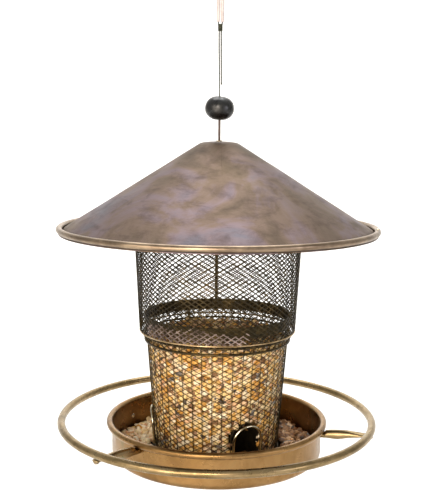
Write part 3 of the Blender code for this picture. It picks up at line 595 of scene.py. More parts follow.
def cable_route():
    """The cable's whole line: anchor, bead, crimp, loop, crimp and the end of its tail."""
    half, spacing = 0.9 * MM, 1.8 * MM
    start = JACKET_HI.z
    end = CRIMP_LO.z
    line = [(0.0, 0.0, ANCHOR_LO.z + (start - ANCHOR_LO.z) * i / 60) for i in range(60)]
    for i in range(50):
        t = i / 49
        line.append((-half * t * t * (3 - 2 * t), 0.0, start + (end - start) * t))
    loop = loop_route()
    line.append((-1.1 * MM, 0.0, (end + CRIMP_HI.z) / 2))
    line.extend(loop)
    line.append((1.1 * MM, 0.0, (end + CRIMP_HI.z) / 2))
    tail_end = end - 44.8 * MM
    for i in range(40):
        z = end + (tail_end - end) * i / 39
        t = (z - start) / (end - start)
        line.append((spacing - half * t * t * (3 - 2 * t), 0.0, z))
    return line


def evened(line, step):
    """A line's points at an even step along it."""
    places = np.array(line, float)
    runs = np.r_[0, np.cumsum(np.linalg.norm(np.diff(places, axis=0), axis=1))]
    count = max(2, int(round(runs[-1] / step)) + 1)
    want = np.linspace(0, runs[-1], count)
    return np.stack([np.interp(want, runs, places[:, k]) for k in range(3)], 1), runs[-1]


def build_cable(settings):
    """The stranded cable with its jacket, crimp and sleeved loop, and the anchor under the bar."""
    line, length = evened(cable_route(), 0.9 * MM)
    radius = 0.62 * MM
    sides, strands, lay_length, strand_bulge = 24, 6, 9.0 * MM, 0.11
    points, faces = tube_along([Vector(p) for p in line], radius, sides)
    for i, centre in enumerate(line):
        for k in range(sides):
            turn = math.tau * k / sides + math.tau * (0.9 * MM * i) / lay_length
            swell = 1.0 + strand_bulge * math.cos(strands * turn)
            at = i * sides + k
            points[at] = Vector(centre) + (points[at] - Vector(centre)) * swell
    # The tail's last faces take the ferrule's dark finish
    dark_tail_from = (len(line) - 3) * sides
    picks = [1 if min(face) >= dark_tail_from else 0 for face in faces]
    cable = piece(
        "steel_cable",
        points,
        faces,
        ["strand", "crimp"],
        "cage",
        ["cable_bare", "cable_tail"],
        "cable_steel",
        picks,
    )
    low, high = JACKET_LO.z, JACKET_HI.z
    steps, skin_r, bore, unevenness = 40, 1.05 * MM, 0.75 * MM, 0.03 * MM
    outer = []
    for i in range(steps + 1):
        outer.append((skin_r + unevenness * math.sin(i * 1.7), low + (high - low) * i / steps))
    jacket = faced(turned(outer + [(bore, high), (bore, low)], circle_steps(20)))
    jacket = piece("cable_jacket_tube", *jacket, ["jacket"], "cage", ["cable_jacketed"], "cable_jacket")

    route = loop_route()
    around = [Vector(p) for p in evened(route, 1.0 * MM)[0]]
    count = len(around)
    widths = []
    for i in range(count):
        edge = min(i, count - 1 - i)
        widths.append((1.32 + 0.28 * min(1.0, edge / 4.0)) * MM)
    sleeve = faced(tube_along(around, widths, 20))
    sleeve = piece("loop_sleeve_tube", *sleeve, ["sleeve"], "cage", ["hang_loop"], "loop_sleeve")

    points = []
    low, high = CRIMP_LO.z, CRIMP_HI.z
    levels, turns, pinch_w = 24, 28, 0.07
    for i in range(levels + 1):
        t = i / levels
        pinch = 0.0
        for at in (0.3, 0.68):
            pinch += math.exp(-(((t - at) / pinch_w) ** 2))
        edge = min(1.0, 0.72 + 5.0 * min(t, 1 - t))
        wide = 2.0 * MM * edge * (1 - 0.05 * pinch)
        deep = 1.4 * MM * edge * (1 - 0.24 * pinch)
        for k in range(turns):
            turn = math.tau * k / turns
            points.append((wide * math.cos(turn), deep * math.sin(turn), low + (high - low) * t))
    faces = skinned(levels + 1, turns)
    ferrule = piece("crimped_ferrule", points, faces, ["crimp"], "cage", ["crimp_ferrule"], "crimp_dark")

    washer = [
        (1.4 * MM, WASHER_HI.z),
        (4.8 * MM, WASHER_HI.z),
        (5.0 * MM, WASHER_HI.z - 0.2 * MM),
        (5.0 * MM, WASHER_LO.z + 0.2 * MM),
        (4.8 * MM, WASHER_LO.z),
        (1.4 * MM, WASHER_LO.z),
    ]
    disc = faced(turned(washer, circle_steps(48)))
    piece("anchor_washer_disc", *disc, ["strand"], "cage", ["anchor_washer"])
    top, foot = ANCHOR_HI.z, ANCHOR_LO.z
    barrel = [(1.35 * MM, top), (2.3 * MM, top), (2.7 * MM, top - 0.5 * MM)]
    for i in range(9):
        z = top - 0.9 * MM - (top - foot - 1.8 * MM) * i / 8
        barrel.append(((2.8 if i % 4 != 2 else 2.35) * MM, z))
    barrel += [(2.7 * MM, foot + 0.5 * MM), (2.3 * MM, foot), (1.35 * MM, foot)]
    anchor = piece(
        "cable_anchor_barrel", *faced(turned(barrel, circle_steps(32))), ["strand"], "cage", ["cable_anchor"]
    )


def build_bead(settings):
    """The stop bead: a turned wooden ball, a little squashed, with a flared bore."""
    radius, half, bore = 12.5 * MM, 10.0 * MM, 3.2 * MM
    start = math.asin(bore / radius)
    outline = []
    for i in range(41):
        angle = start + (math.pi - 2 * start) * i / 40
        flat = abs(math.cos(angle)) ** 0.9 * math.copysign(1, math.cos(angle))
        outline.append((radius * math.sin(angle) ** 0.92, half * flat / math.cos(start) ** 0.9))
    top = outline[0][1]
    throat, flare = bore - 0.12 * MM, 1.2 * MM
    outline += [(throat, -top + flare), (bore - 0.16 * MM, 0.0), (throat, top - flare)]

    def turned_by_hand(r, z, angle):
        knock = noise.noise(Vector((math.cos(angle) * 1.3, math.sin(angle) * 1.3, z * 90)))
        return r * (1 - 0.018 * max(0.0, knock)), z

    shape = faced(turned(outline, circle_steps(64), turned_by_hand))
    middle = (BEAD_LO + BEAD_HI) / 2
    lean = Matrix.Translation(middle) @ Matrix.Rotation(math.radians(4.0), 4, "Y")
    piece("painted_stop_bead", *placed(shape, lean), ["bead"], "bead", ["stop_bead"], "bead_black")


def build_roof(settings):
    """The spun cone with its lap and edge channel, the rolled rim, the eyelet and the rim's rivet."""
    ledge = RIM_Z - RIM_TUBE_R - GAP
    crown = APEX_Z - ROOF_CROWN
    line = [(2.5 * MM, APEX_Z), (7 * MM, APEX_Z - 0.1 * MM), (11 * MM, APEX_Z - 0.45 * MM)]
    line += [(14 * MM, APEX_Z - 0.9 * MM), (16.2 * MM, crown + 0.15 * MM)]
    for i in range(1, 37):
        t = i / 36
        line.append((ROOF_TIP_R + (GROOVE_R - ROOF_TIP_R) * t, crown + (RIM_Z - crown) * t))
    line += [
        (GROOVE_R + 0.35 * MM, RIM_Z - 0.8 * MM),
        (GROOVE_R + 0.5 * MM, ledge + 0.6 * MM),
        (GROOVE_R + 1.0 * MM, ledge),
        (ROOF_R - RIM_TUBE_R * 0.7, ledge),
    ]
    line = line[::-1]
    outline = shelled(line, -SHEET)
    slope = math.atan2(crown - RIM_Z, GROOVE_R - ROOF_TIP_R)
    tip_fade, edge_fade = 14 * MM, 8 * MM
    lap_spread, lap_end, lap_reach = 0.30, 2.0, 44 * MM

    def beaten(r, z, angle):
        from_tip = min(1.0, max(0.0, (r - ROOF_TIP_R) / tip_fade))
        from_edge = min(1.0, max(0.0, (GROOVE_R - r) / edge_fade))
        window = from_tip * from_edge
        x, y = r * math.cos(angle), r * math.sin(angle)
        dent = noise.noise(Vector((x * 26, y * 26, z * 26)))
        dent += 0.5 * noise.noise(Vector((x * 60, y * 60, z * 60 + 5)))
        past = (angle - LAP_ANGLE) % math.tau
        lap = math.exp(-past / lap_spread) if past < lap_end else 0.0
        lap *= max(0.0, 1 - (r - ROOF_TIP_R) / lap_reach) ** 1.5
        lift = window * (settings.dent_depth * dent + settings.lap_height * lap)
        return r + lift * math.sin(slope), z + lift * math.cos(slope)

    angles = circle_steps(200) + [(LAP_ANGLE - 0.001) % math.tau, (LAP_ANGLE + 0.004) % math.tau]
    shape = faced(turned(outline, sorted(angles), beaten))
    piece("roof_skin", *shape, ["roof"], "roof", ["roof_cone"], "roof_bronze")
    roll = faced(hoop(ROOF_R - RIM_TUBE_R, RIM_Z, RIM_TUBE_R, 240, 24))
    piece("roof_roll", *roll, ["rim"], "roof", ["roof_rim"], "roof_bronze")

    low, high = GROMMET_LO.z, GROMMET_HI.z
    eyelet = [(1.5 * MM, high - 0.1 * MM)] + arc(2.4 * MM, high - 0.6 * MM, 0.6 * MM, 140, 0, 8)
    eyelet += [(3.3 * MM, high - 0.55 * MM), (3.4 * MM, APEX_Z + GAP), (2.2 * MM, APEX_Z + GAP)]
    eyelet += [(2.2 * MM, APEX_Z - SHEET - GAP), (3.4 * MM, APEX_Z - SHEET - GAP)]
    eyelet += [(3.1 * MM, low), (1.5 * MM, low)]
    piece("apex_eyelet", *faced(turned(eyelet, circle_steps(48))), ["fastener"], "roof", ["apex_grommet"])
    angle = math.radians(-12.0)
    spot = Vector((math.cos(angle), math.sin(angle), 0.0)) * (ROOF_R - RIM_TUBE_R)
    place = Matrix.Translation(spot + Vector((0, 0, RIM_HI.z + GAP)))
    head = placed(dome_head(1.6 * MM, 0.9 * MM, 0.8 * MM, 0.35 * MM), place)
    piece("rim_rivet_head", *head, ["fastener"], "roof", ["rim_rivet"])


def wall_point(radius_at, angle, z, out=0.0):
    """A point on a wall at an angle and height."""
    r = radius_at(z) + out
    return Vector((r * math.cos(angle), r * math.sin(angle), z))


def wire_runs(radius_at, spots, out, wire_r, keep_at):
    """Wires on a wall through (angle, height) spots, broken where keep_at says no."""
    runs = [[]]
    for angle, z in spots:
        if keep_at(angle, z):
            runs[-1].append(wall_point(radius_at, angle, z, out))
        else:
            runs.append([])
    return [tube_along(run, wire_r, WIRE_SIDES) for run in runs if len(run) > 1]


def diamond_wires(radius_at, high, low, cells, cell_h, wire_r, keep_at, steps):
    """Two crossing families of helical wires on a wall, left out where keep_at says no."""
    shapes = []
    cross = 0.55 * wire_r
    for hand, out in ((1, cross), (-1, -cross)):
        for i in range(cells):
            start = math.tau * (i + 0.25) / cells
            spots = []
            for j in range(steps + 1):
                z = high + (low - high) * j / steps
                spots.append((start + hand * math.tau / cells * (high - z) / cell_h, z))
            shapes.extend(wire_runs(radius_at, spots, out, wire_r, keep_at))
    return shapes


def in_port(angle, z, margin=0.0):
    """Whether a place on the lower wall lies in a port's arch."""
    for port in PORT_ANGLES:
        off = (angle - port + math.pi) % math.tau - math.pi
        s = abs(off) * lower_radius(z)
        half = PORT_W / 2 + margin
        top = PORT_TOP_Z + margin
        spring = top - half
        if SILL_Z - margin < z < top and s < half:
            if z < spring or math.hypot(s, z - spring) < half:
                return True
    return False


def clear_of_ports(angle, z):
    """Whether a wire of the lower wall may lie here."""
    return not in_port(angle, z, 1.3 * MM)


def rubbed(place, middle):
    """Whether the sliding tier has rubbed a wire bare here: low on the wall, in ragged patches."""
    band, first, last = 14 * MM, -150, -70
    ragged = noise.noise(middle * 45) * 5 * MM + noise.noise(place * 60) * 7 * MM
    angle = math.degrees(math.atan2(place.y, place.x))
    return SHOULDER_Z < place.z < SHOULDER_Z + band + ragged and first < angle < last


def dress(node, finish):
    """Give a finish to a CAD node that stays in view."""
    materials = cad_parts[node].data.materials
    materials.clear()
    materials.append(FINISHES[finish])


def build_upper_cage(settings):
    """The upper tier's wire wall, hoops and seam, and the bar that carries it on the cable."""
    cell_h, steps, bend_wire_r = 4.15 * MM, 58, 0.75 * MM
    wires = diamond_wires(
        upper_radius,
        HOOP_LO.z,
        SHOULDER_Z,
        settings.upper_cells,
        cell_h,
        settings.upper_wire / 2,
        lambda angle, z: True,
        steps,
    )
    for i in range(settings.upper_cells):
        angle = math.tau * (i + 0.25) / settings.upper_cells
        ends = [wall_point(upper_radius, angle, z) for z in (SHOULDER_Z, SHOULDER_FOOT_Z)]
        wires.append(tube_along(ends, settings.upper_wire * 0.42, WIRE_SIDES))
    # Picks of the wire finish: 1 for the wires' painted highlight, 2 for the bend's painted highlight
    wear_and_painted_highlight = []
    for wire in wires:
        middle = sum((Vector(p) for p in wire[0]), Vector()) / len(wire[0])
        wear_and_painted_highlight.extend(1 if rubbed(Vector(wire[0][face[0]]), middle) else 0 for face in wire[1])
    # The bend hoop takes the pale bronze finish, a painted highlight
    bend = faced(hoop(UPPER_LOW_R + 0.1 * MM, SHOULDER_Z, bend_wire_r, 200, 12))
    wires.append(bend)
    wear_and_painted_highlight.extend([2] * len(bend[1]))
    piece(
        "upper_wire_wall",
        *joined(wires),
        ["wire", "wire_worn", "lip"],
        "cage",
        ["upper_mesh"],
        "cage_bronze",
        wear_and_painted_highlight,
    )
    piece("upper_hoop", *faced(hoop(HOOP_R, HOOP_Z, HOOP_WIRE_R)), ["wire"], "cage", ["top_hoop"])
    piece("lip_hoop", *faced(hoop(LIP_R, LIP_Z, LIP_WIRE_R)), ["wire"], "cage", ["lip_ring"])

    half_w, thick, bend = 6.0 * MM, 1.6 * MM, 3.0 * MM
    reach, top, drop = BAR_HI.x, BAR_HI.z, BAR_LO.z
    side = [(reach, drop)] + [(reach, drop + (top - bend - drop) * i / 3) for i in (1, 2, 3)]
    side += [(reach - bend + x, z) for x, z in arc(0, top - bend, bend, 10, 90, 8)]
    side += [(reach * f, top) for f in (0.75, 0.5, 0.25, 0.08)]
    outer = side + [(-x, z) for x, z in reversed(side)]
    inner = shelled(outer, -thick)[len(outer) :]
    loops = outer + inner
    points = [Vector((x, y, z)) for y in (-half_w, half_w) for x, z in loops]
    count = len(loops)
    faces = []
    for i in range(count):
        k = (i + 1) % count
        faces.append((i, k, count + k, count + i))
    size = len(outer)
    for i in range(size - 1):
        j = count - 1 - i
        faces.append((i, i + 1, j - 1, j)[::-1])
        faces.append((count + i, count + i + 1, count + j - 1, count + j))
    piece("hanger_strap", *faced((points, faces)), ["wire"], "cage", ["hanger_bar"])
    for name, angle in (("bar_rivet_left", math.pi), ("bar_rivet_right", 0.0)):
        low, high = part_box(name)
        z = (low.z + high.z) / 2
        seat = upper_radius(z) + SHEET / 2 + GAP
        head = placed(dome_head(2.8 * MM, 1.2 * MM, 1.2 * MM, 4.4 * MM), facing(angle, seat, z))
        piece(name + "_head", *head, ["fastener"], "cage", [name])
    dress("upper_seam", "wire")


def build_lower_cage(settings):
    """The lower tier's wire wall, collar, stop ring, seam and foot ring."""
    cell_h, steps = 4.4 * MM, 64
    wires = diamond_wires(
        lower_radius,
        LOWER_TOP,
        LOWER_FOOT,
        settings.lower_cells,
        cell_h,
        settings.lower_wire / 2,
        clear_of_ports,
        steps,
    )
    rib_out, rib_r, rib_steps = 0.9 * settings.lower_wire, settings.lower_wire * 0.6, 40
    for i in range(settings.lower_cells):
        angle = math.tau * (i + 0.5) / settings.lower_cells
        spots = [(angle, LOWER_TOP + (LOWER_FOOT - LOWER_TOP) * j / rib_steps) for j in range(rib_steps + 1)]
        wires.extend(wire_runs(lower_radius, spots, rib_out, rib_r, clear_of_ports))
    piece("lower_wire_wall", *joined(wires), ["wire"], "tray", ["lower_mesh"], "cage_bronze")

    side = SHEET / 2 + GAP
    top, low = COLLAR_HI.z, COLLAR_LO.z
    collar = [
        (lower_radius(top) + side, top),
        (lower_radius(top) + side + 0.5 * MM, top + 0.15 * MM),
        (lower_radius(top) + side + SHEET, top - 0.3 * MM),
        (lower_radius(low) + side + SHEET, low + 0.3 * MM),
        (lower_radius(low) + side, low),
    ]
    piece("collar_hoop", *faced(turned(collar, circle_steps(120))), ["wire"], "tray", ["collar_band"])
    stop_r = (STOP_HI.z - STOP_LO.z) / 2
    stop_z = (STOP_HI.z + STOP_LO.z) / 2
    piece("stop_hoop", *faced(hoop(STOP_HI.x - stop_r, stop_z, stop_r)), ["wire"], "tray", ["stop_ring"])
    wall_r = LOWER_FOOT_R + side
    lean = 0.55 * MM
    foot_top, foot_low = FOOT_HI.z, FOOT_LO.z
    foot = [(wall_r + lean, foot_top), (wall_r + lean + 0.6 * MM, foot_top)]
    foot += [(wall_r + lean + SHEET, foot_top - 0.3 * MM), (wall_r + SHEET + 0.3 * MM, foot_low + 2.0 * MM)]
    foot += [(wall_r + SHEET + 1.0 * MM, foot_low + 1.1 * MM), (wall_r + SHEET + 2.0 * MM, foot_low + SHEET)]
    foot += [(FOOT_HI.x - 0.3 * MM, foot_low + SHEET), (FOOT_HI.x, foot_low + 0.4 * MM)]
    foot += [(FOOT_HI.x - 0.2 * MM, foot_low), (wall_r, foot_low)]
    piece("foot_flange", *faced(turned(foot, circle_steps(120))), ["wire"], "tray", ["foot_ring"])
    dress("lower_seam", "wire")


def arch_line(width, foot, top, steps):
    """A round-topped arch as (sideways, height) from its left foot to its right foot."""
    radius = width / 2
    spring = top - radius
    points = [(-radius, foot + (spring - foot) * i / 4) for i in range(4)]
    for i in range(steps + 1):
        angle = math.pi - math.pi * i / steps
        points.append((radius * math.cos(angle), spring + radius * math.sin(angle)))
    points += [(radius, foot + (spring - foot) * (3 - i) / 4) for i in range(4)]
    return points


def build_ports(settings):
    """The three feeding ports: a bright wire arch on the wall and a hood behind it."""
    edge_r = 1.1 * MM
    for number, angle in enumerate(PORT_ANGLES, 1):
        tag = str(number)
        line = []
        for s, z in arch_line(PORT_W + 2 * edge_r, SILL_Z + edge_r + GAP, PORT_TOP_Z + edge_r, 28):
            r = lower_radius(z) + SHEET / 2 + GAP + edge_r
            line.append(Vector((r * math.cos(angle + s / r), r * math.sin(angle + s / r), z)))
        edge = faced(tube_along(line, edge_r, 14))
        piece("port_edge_" + tag, *edge, ["port"], "tray", ["port_frame_" + tag], "fastener_bright")

        depth, narrowing, droop, rows = 17.0 * MM, 0.2, 0.15, 9
        hood_w = PORT_W + 2.4 * MM
        foot = FLOOR_TOP + 9.0 * MM
        inner = lower_radius(foot) - SHEET / 2 - GAP
        front = math.sqrt(inner**2 - (hood_w / 2 + SHEET) ** 2) - GAP
        points = []
        arch = arch_line(hood_w, foot, PORT_TOP_Z + 1.2 * MM, 24)
        middle = (foot + PORT_TOP_Z) / 2
        for i in range(rows):
            t = i / (rows - 1)
            pull = t * t
            for s, z in arch:
                drop = (z - middle) * droop * pull if z > middle else 0.0
                points.append((front - depth * t, s * (1 - narrowing * pull), z - drop))
        count = len(arch)
        faces = skinned(rows, count, False, False)
        faces.append(tuple(range((rows - 1) * count, rows * count)))
        turn = Matrix.Rotation(angle, 4, "Z")
        scoop = placed((points, faces), turn)
        # The hood's near-black finish is painted shade inside the port
        hood = piece("port_scoop_" + tag, *scoop, ["hood"], "tray", ["port_hood_" + tag])
        wall = hood.modifiers.new("sheet", "SOLIDIFY")
        wall.thickness = SHEET
        wall.offset = 0.0


def kernel_forms(ring, bands):
    """Unit shapes of split corn, peanut, oat and hull, as arrays of points with shared faces."""
    unit = [(0.0, 0.0, 1.0)]
    for i in range(1, bands):
        lean = math.pi * i / bands
        for k in range(ring):
            turn = math.tau * k / ring
            unit.append((math.sin(lean) * math.cos(turn), math.sin(lean) * math.sin(turn), math.cos(lean)))
    unit.append((0.0, 0.0, -1.0))
    faces = []
    last = len(unit) - 1
    for k in range(ring):
        m = (k + 1) % ring
        faces.append((0, 1 + k, 1 + m))
        faces.append((last, last - ring + m, last - ring + k))
        for i in range(bands - 2):
            a = 1 + i * ring
            faces.append((a + k, a + ring + k, a + ring + m, a + m))
    ball = np.array(unit)
    x, y, z = ball[:, 0], ball[:, 1], ball[:, 2]
    taper = 1 - 0.35 * z
    lump = 1 + 0.18 * np.sin(3 * x + 1) * np.cos(4 * y)
    forms = {
        "seed_gold": np.stack([x * 0.68 * lump, y * 0.5 * lump, z * 0.92], 1),
        "seed_cream": np.stack([x * 0.62 * taper, y * 0.36, z * 1.05], 1),
        "seed_peach": np.stack([x * 0.40 * taper, y * 0.34 + 0.05 * z * z, z * 1.1], 1),
        "seed_brown": np.stack([x * 0.55 * taper, y * 0.42 * lump, z * 0.85], 1),
        "seed_dark": np.stack([x * 0.46 * taper, y * 0.30, z * 1.2], 1),
    }
    return forms, faces


def inside_tray(z):
    """The tray's inner radius at a height, round the fillet at its floor."""
    wall_clear = 0.2 * MM
    wall = TRAY_WALL_R - SHEET / 2 - wall_clear
    bend = 4.6 * MM
    rise = min(max(z - FLOOR_TOP, 0.0), bend)
    return wall - bend + math.sqrt(bend**2 - (bend - rise) ** 2)


def inside_wires(z):
    """How far out a kernel may lie behind the lower tier's wires."""
    wire_clear = 0.45 * MM
    return lower_radius(z) - wire_clear


def kept_inside(points, reach_at):
    """Kernel points held above the tray's floor and within a wall's reach."""
    floor_clear = 0.15 * MM
    points[:, 2] = np.maximum(points[:, 2], FLOOR_TOP + floor_clear)
    radius = np.hypot(points[:, 0], points[:, 1])
    reach = np.array([reach_at(z) for z in points[:, 2]])
    pull = np.minimum(1.0, reach / np.maximum(radius, 1e-6))
    points[:, 0] *= pull
    points[:, 1] *= pull
    return points


def kernel_pile(name, spots, forms, faces, reach_at):
    """Pieces of many loose kernels, one piece for each kind; a spot is (kind, centre, out, size)."""
    tilt = 0.32
    kinds = {}
    for kind, centre, out, size in spots:
        kinds.setdefault(kind, []).append((centre, out, size))
    for kind in sorted(kinds):
        form = forms[kind]
        batch = []
        rims = []
        for i, (centre, out, size) in enumerate(kinds[kind]):
            flat = Vector(out) + Vector((RNG.gauss(0, tilt), RNG.gauss(0, tilt), RNG.gauss(0, tilt)))
            flat.normalize()
            long = Vector((RNG.gauss(0, 1), RNG.gauss(0, 1), RNG.gauss(0, tilt)))
            long = (long - flat * long.dot(flat)).normalized()
            turn = np.array([long.cross(flat), flat, long])
            stretch = [RNG.uniform(0.8, 1.2), RNG.uniform(0.8, 1.15), RNG.uniform(0.85, 1.15)]
            batch.append((form * size * np.array(stretch)) @ turn + np.array(centre))
            start = i * len(form)
            rims.extend(tuple(v + start for v in face) for face in faces)
        made = piece(
            name + "_" + kind[5:],
            kept_inside(np.concatenate(batch), reach_at).tolist(),
            rims,
            [kind],
            "tray",
            (),
            "mixed_seed",
            smooth_over=70.0,
        )
        made.data.validate()


def pick_kind(shares):
    """A kind of seed drawn by its share."""
    total = sum(shares.values())
    mark = RNG.random() * total
    for kind, share in shares.items():
        mark -= share
        if mark <= 0:
            return kind
    return next(iter(shares))


def build_seed(settings):
    """The mixed seed that fills the lower tier: kernels against the wire over a packed core."""
    shares = {"seed_gold": 0.4, "seed_cream": 0.24, "seed_peach": 0.19, "seed_brown": 0.13, "seed_dark": 0.04}
    top = SEED_HI.z
    low = SEED_LO.z
    steps = 40
    outline = [(0.0, top - 1.5 * MM)]
    outline += [(lower_radius(top) * f, top - 1.5 * MM) for f in (0.3, 0.6, 0.9)]
    for i in range(steps + 1):
        z = top - 2.0 * MM + (low - top + 2.0 * MM) * i / steps
        outline.append((lower_radius(z) - 4.0 * MM, z))
    outline += [(20 * MM, low), (0.0, low)]
    points, faces = disc_of(outline, circle_steps(160))
    shrunk = []
    core_r, pocket_r, pocket_clear, port_clear = 34 * MM, 29 * MM, 4.5 * MM, 3.8 * MM
    for p in points:
        angle, r = math.atan2(p[1], p[0]), math.hypot(p[0], p[1])
        z_in = min(max(p[2], SILL_Z), PORT_TOP_Z - 6 * MM)
        low_enough = p[2] < PORT_TOP_Z + 3 * MM
        if r > core_r and in_port(angle, z_in, pocket_clear) and low_enough:
            scale = pocket_r / r
            p = (p[0] * scale, p[1] * scale, p[2])
        shrunk.append(p)
    piece("seed_core", *faced((shrunk, faces)), ["seed_dust"], "tray", ["seed_fill"], "mixed_seed")

    spots = []
    length = settings.kernel_length / 2
    for depth, row_gap, step in ((2.35 * MM, 3.3 * MM, 4.7 * MM), (4.0 * MM, 4.2 * MM, 5.6 * MM)):
        rows = int((top - low) / row_gap)
        for i in range(rows):
            z = low + 2.0 * MM + (top - low - 3.0 * MM) * (i + 0.5) / rows
            around = int(math.tau * lower_radius(z) / step)
            for k in range(around):
                angle = math.tau * (k + 0.5 * (i % 2) + RNG.uniform(-0.3, 0.3)) / around
                at_z = z + RNG.uniform(-1.0, 1.0) * MM
                if in_port(angle, max(at_z, SILL_Z + 1 * MM), port_clear):
                    continue
                r = lower_radius(at_z) - depth - RNG.uniform(0, 0.9) * MM
                out = (math.cos(angle), math.sin(angle), 0.0)
                size = length * RNG.uniform(0.78, 1.12)
                spots.append((pick_kind(shares), (r * out[0], r * out[1], at_z), out, size))
    cap_r = lower_radius(top) - 4.5 * MM
    cap_kernels = 520
    mix = {"seed_gold": 0.2, "seed_cream": 0.12, "seed_peach": 0.18, "seed_brown": 0.38, "seed_dark": 0.12}
    for _ in range(cap_kernels):
        r = cap_r * math.sqrt(RNG.random())
        angle = RNG.uniform(0, math.tau)
        at = (r * math.cos(angle), r * math.sin(angle), top - RNG.uniform(0.9, 2.4) * MM)
        spots.append((pick_kind(mix), at, (0.0, 0.0, 1.0), length * RNG.uniform(0.8, 1.1)))
    forms, faces = kernel_forms(8, 6)
    kernel_pile("seed_bed", spots, forms, faces, inside_wires)


def build_tray(settings):
    """The pressed tray with its rolled rim and drain holes, and the spilt seed that lies in it."""
    centre = TRAY_R - TRAY_ROLL_R
    outer_r = TRAY_WALL_R + SHEET / 2
    foot = TRAY_LO.z
    bend = 5.4 * MM
    line = arc(centre, TRAY_RIM_Z, TRAY_ROLL_R - SHEET, -62, 180, 30)
    for i in range(1, 12):
        line.append((outer_r, TRAY_RIM_Z + (foot + bend - TRAY_RIM_Z) * i / 12))
    line += arc(outer_r - bend, foot + bend, bend, 0, -90, 12)
    line += [(r * MM, foot) for r in (82, 76, 70, 64, 58, 52, 46, 38, 28, 16, 6, 0)]
    loop = shelled(line, SHEET)
    size = len(line)
    far = loop[size:]
    outline = [(0.0, foot + SHEET)] + far[1:] + line
    shape = faced(disc_of(outline, circle_steps(240)))
    dish = piece("tray_shell", *shape, ["tray"], "tray", ["tray_dish"], "tray_bronze")
    holes = []
    drain_line_r, drain_r, reach = 77.9, 2.5 * MM, 3 * MM
    for i in range(6):
        angle = math.radians(28 + 60 * i)
        spot = Vector((math.cos(angle), math.sin(angle), 0.0)) * drain_line_r * MM
        spot += Vector((0, 0, foot + SHEET / 2))
        ring = [(drain_r, reach), (drain_r, -reach), (0.0, -reach)]
        drill = faced(disc_of([(0.0, reach)] + ring, circle_steps(24)))
        holes.append(placed(drill, Matrix.Translation(spot)))
    mesh = bpy.data.meshes.new("drain_drill")
    points, faces = joined(holes)
    mesh.from_pydata([tuple(p) for p in points], [], faces)
    drill = bpy.data.objects.new("drain_drill", mesh)
    bpy.context.scene.collection.objects.link(drill)
    cut = dish.modifiers.new("drains", "BOOLEAN")
    cut.operation = "DIFFERENCE"
    cut.solver = "EXACT"
    cut.object = drill
    bpy.context.view_layer.update()
    drilled = dish.evaluated_get(bpy.context.evaluated_depsgraph_get())
    finished = bpy.data.meshes.new_from_object(drilled)
    dish.modifiers.clear()
    dish.data = finished
    bpy.data.objects.remove(drill, do_unlink=True)

    floor = FLOOR_TOP + GAP
    crest = CRUMB_HI.z
    inner, outer = 56.5 * MM, 91.4 * MM
    spots = []
    mixes = (
        (math.radians(165), {"seed_peach": 0.42, "seed_cream": 0.5, "seed_gold": 0.08}, 1.0),
        (math.radians(20), {"seed_brown": 0.72, "seed_dark": 0.08, "seed_peach": 0.2}, 1.0),
        (math.radians(-38), {"seed_gold": 0.62, "seed_cream": 0.2, "seed_peach": 0.18}, 0.85),
        (math.radians(-100), {"seed_peach": 0.4, "seed_gold": 0.3, "seed_cream": 0.3}, 0.7),
        (math.radians(90), {"seed_peach": 0.35, "seed_gold": 0.35, "seed_brown": 0.3}, 0.8),
    )
    base = []
    for i in range(160):
        angle = math.tau * i / 160
        for r in (inner + 7 * MM, inner + 14 * MM, outer - 10 * MM, outer - 3 * MM):
            near = min(mixes, key=lambda m: abs((angle - m[0] + math.pi) % math.tau - math.pi))
            base.append((r * math.cos(angle), r * math.sin(angle), floor + (crest - floor) * 0.3 * near[2]))
    for i in range(160):
        angle = math.tau * i / 160
        for r in (inner + 7 * MM, outer - 3 * MM):
            base.append((r * math.cos(angle), r * math.sin(angle), floor))
    faces = []
    for i in range(160):
        k = (i + 1) % 160
        for j in range(3):
            faces.append((i * 4 + j, k * 4 + j, k * 4 + j + 1, i * 4 + j + 1))
        a, b = 640 + i * 2, 640 + k * 2
        faces.append((i * 4, a, b, k * 4))
        faces.append((i * 4 + 3, k * 4 + 3, b + 1, a + 1))
        faces.append((a, a + 1, b + 1, b))
    piece("crumb_bed", *faced((base, faces)), ["seed_dust"], "tray", ["tray_seed"], "mixed_seed")
    for _ in range(settings.crumb_count):
        angle = RNG.uniform(0, math.tau)
        r = math.sqrt(RNG.uniform((inner + 5 * MM) ** 2, outer**2)) - 1.6 * MM
        r = min(r, outer - 2.0 * MM)
        near = min(
            mixes,
            key=lambda m: abs((angle - m[0] + math.pi + RNG.gauss(0, 0.12)) % math.tau - math.pi),
        )
        ripple = Vector((r * math.cos(angle) * 40, r * math.sin(angle) * 40, 3.0))
        swell = 0.72 + 0.28 * noise.noise(ripple)
        level = floor + (crest - floor - 1.2 * MM) * near[2] * swell
        z = max(floor + 1.0 * MM, level - RNG.uniform(0.0, 2.0) * MM * RNG.random())
        size = settings.kernel_length / 2 * RNG.uniform(0.95, 1.35)
        at = (r * math.cos(angle), r * math.sin(angle), z)
        out = (RNG.gauss(0, 0.5), RNG.gauss(0, 0.5), 1.0)
        spots.append((pick_kind(near[1]), at, out, size))
    forms, rims = kernel_forms(7, 5)
    kernel_pile("tray_crumbs", spots, forms, rims, inside_tray)


def smooth_stations(stations, parts):
    """Loft stations filled in along a Catmull-Rom curve."""
    made = []
    last = len(stations) - 1
    for i in range(last):
        p0, p1, p2, p3 = (np.array(stations[min(max(i + k, 0), last)]) for k in (-1, 0, 1, 2))
        for j in range(parts):
            t = j / parts
            mixed = 2 * p1 + (p2 - p0) * t + (2 * p0 - 5 * p1 + 4 * p2 - p3) * t**2
            made.append((mixed + (3 * p1 - p0 - 3 * p2 + p3) * t**3) * 0.5)
    made.append(np.array(stations[-1]))
    return made


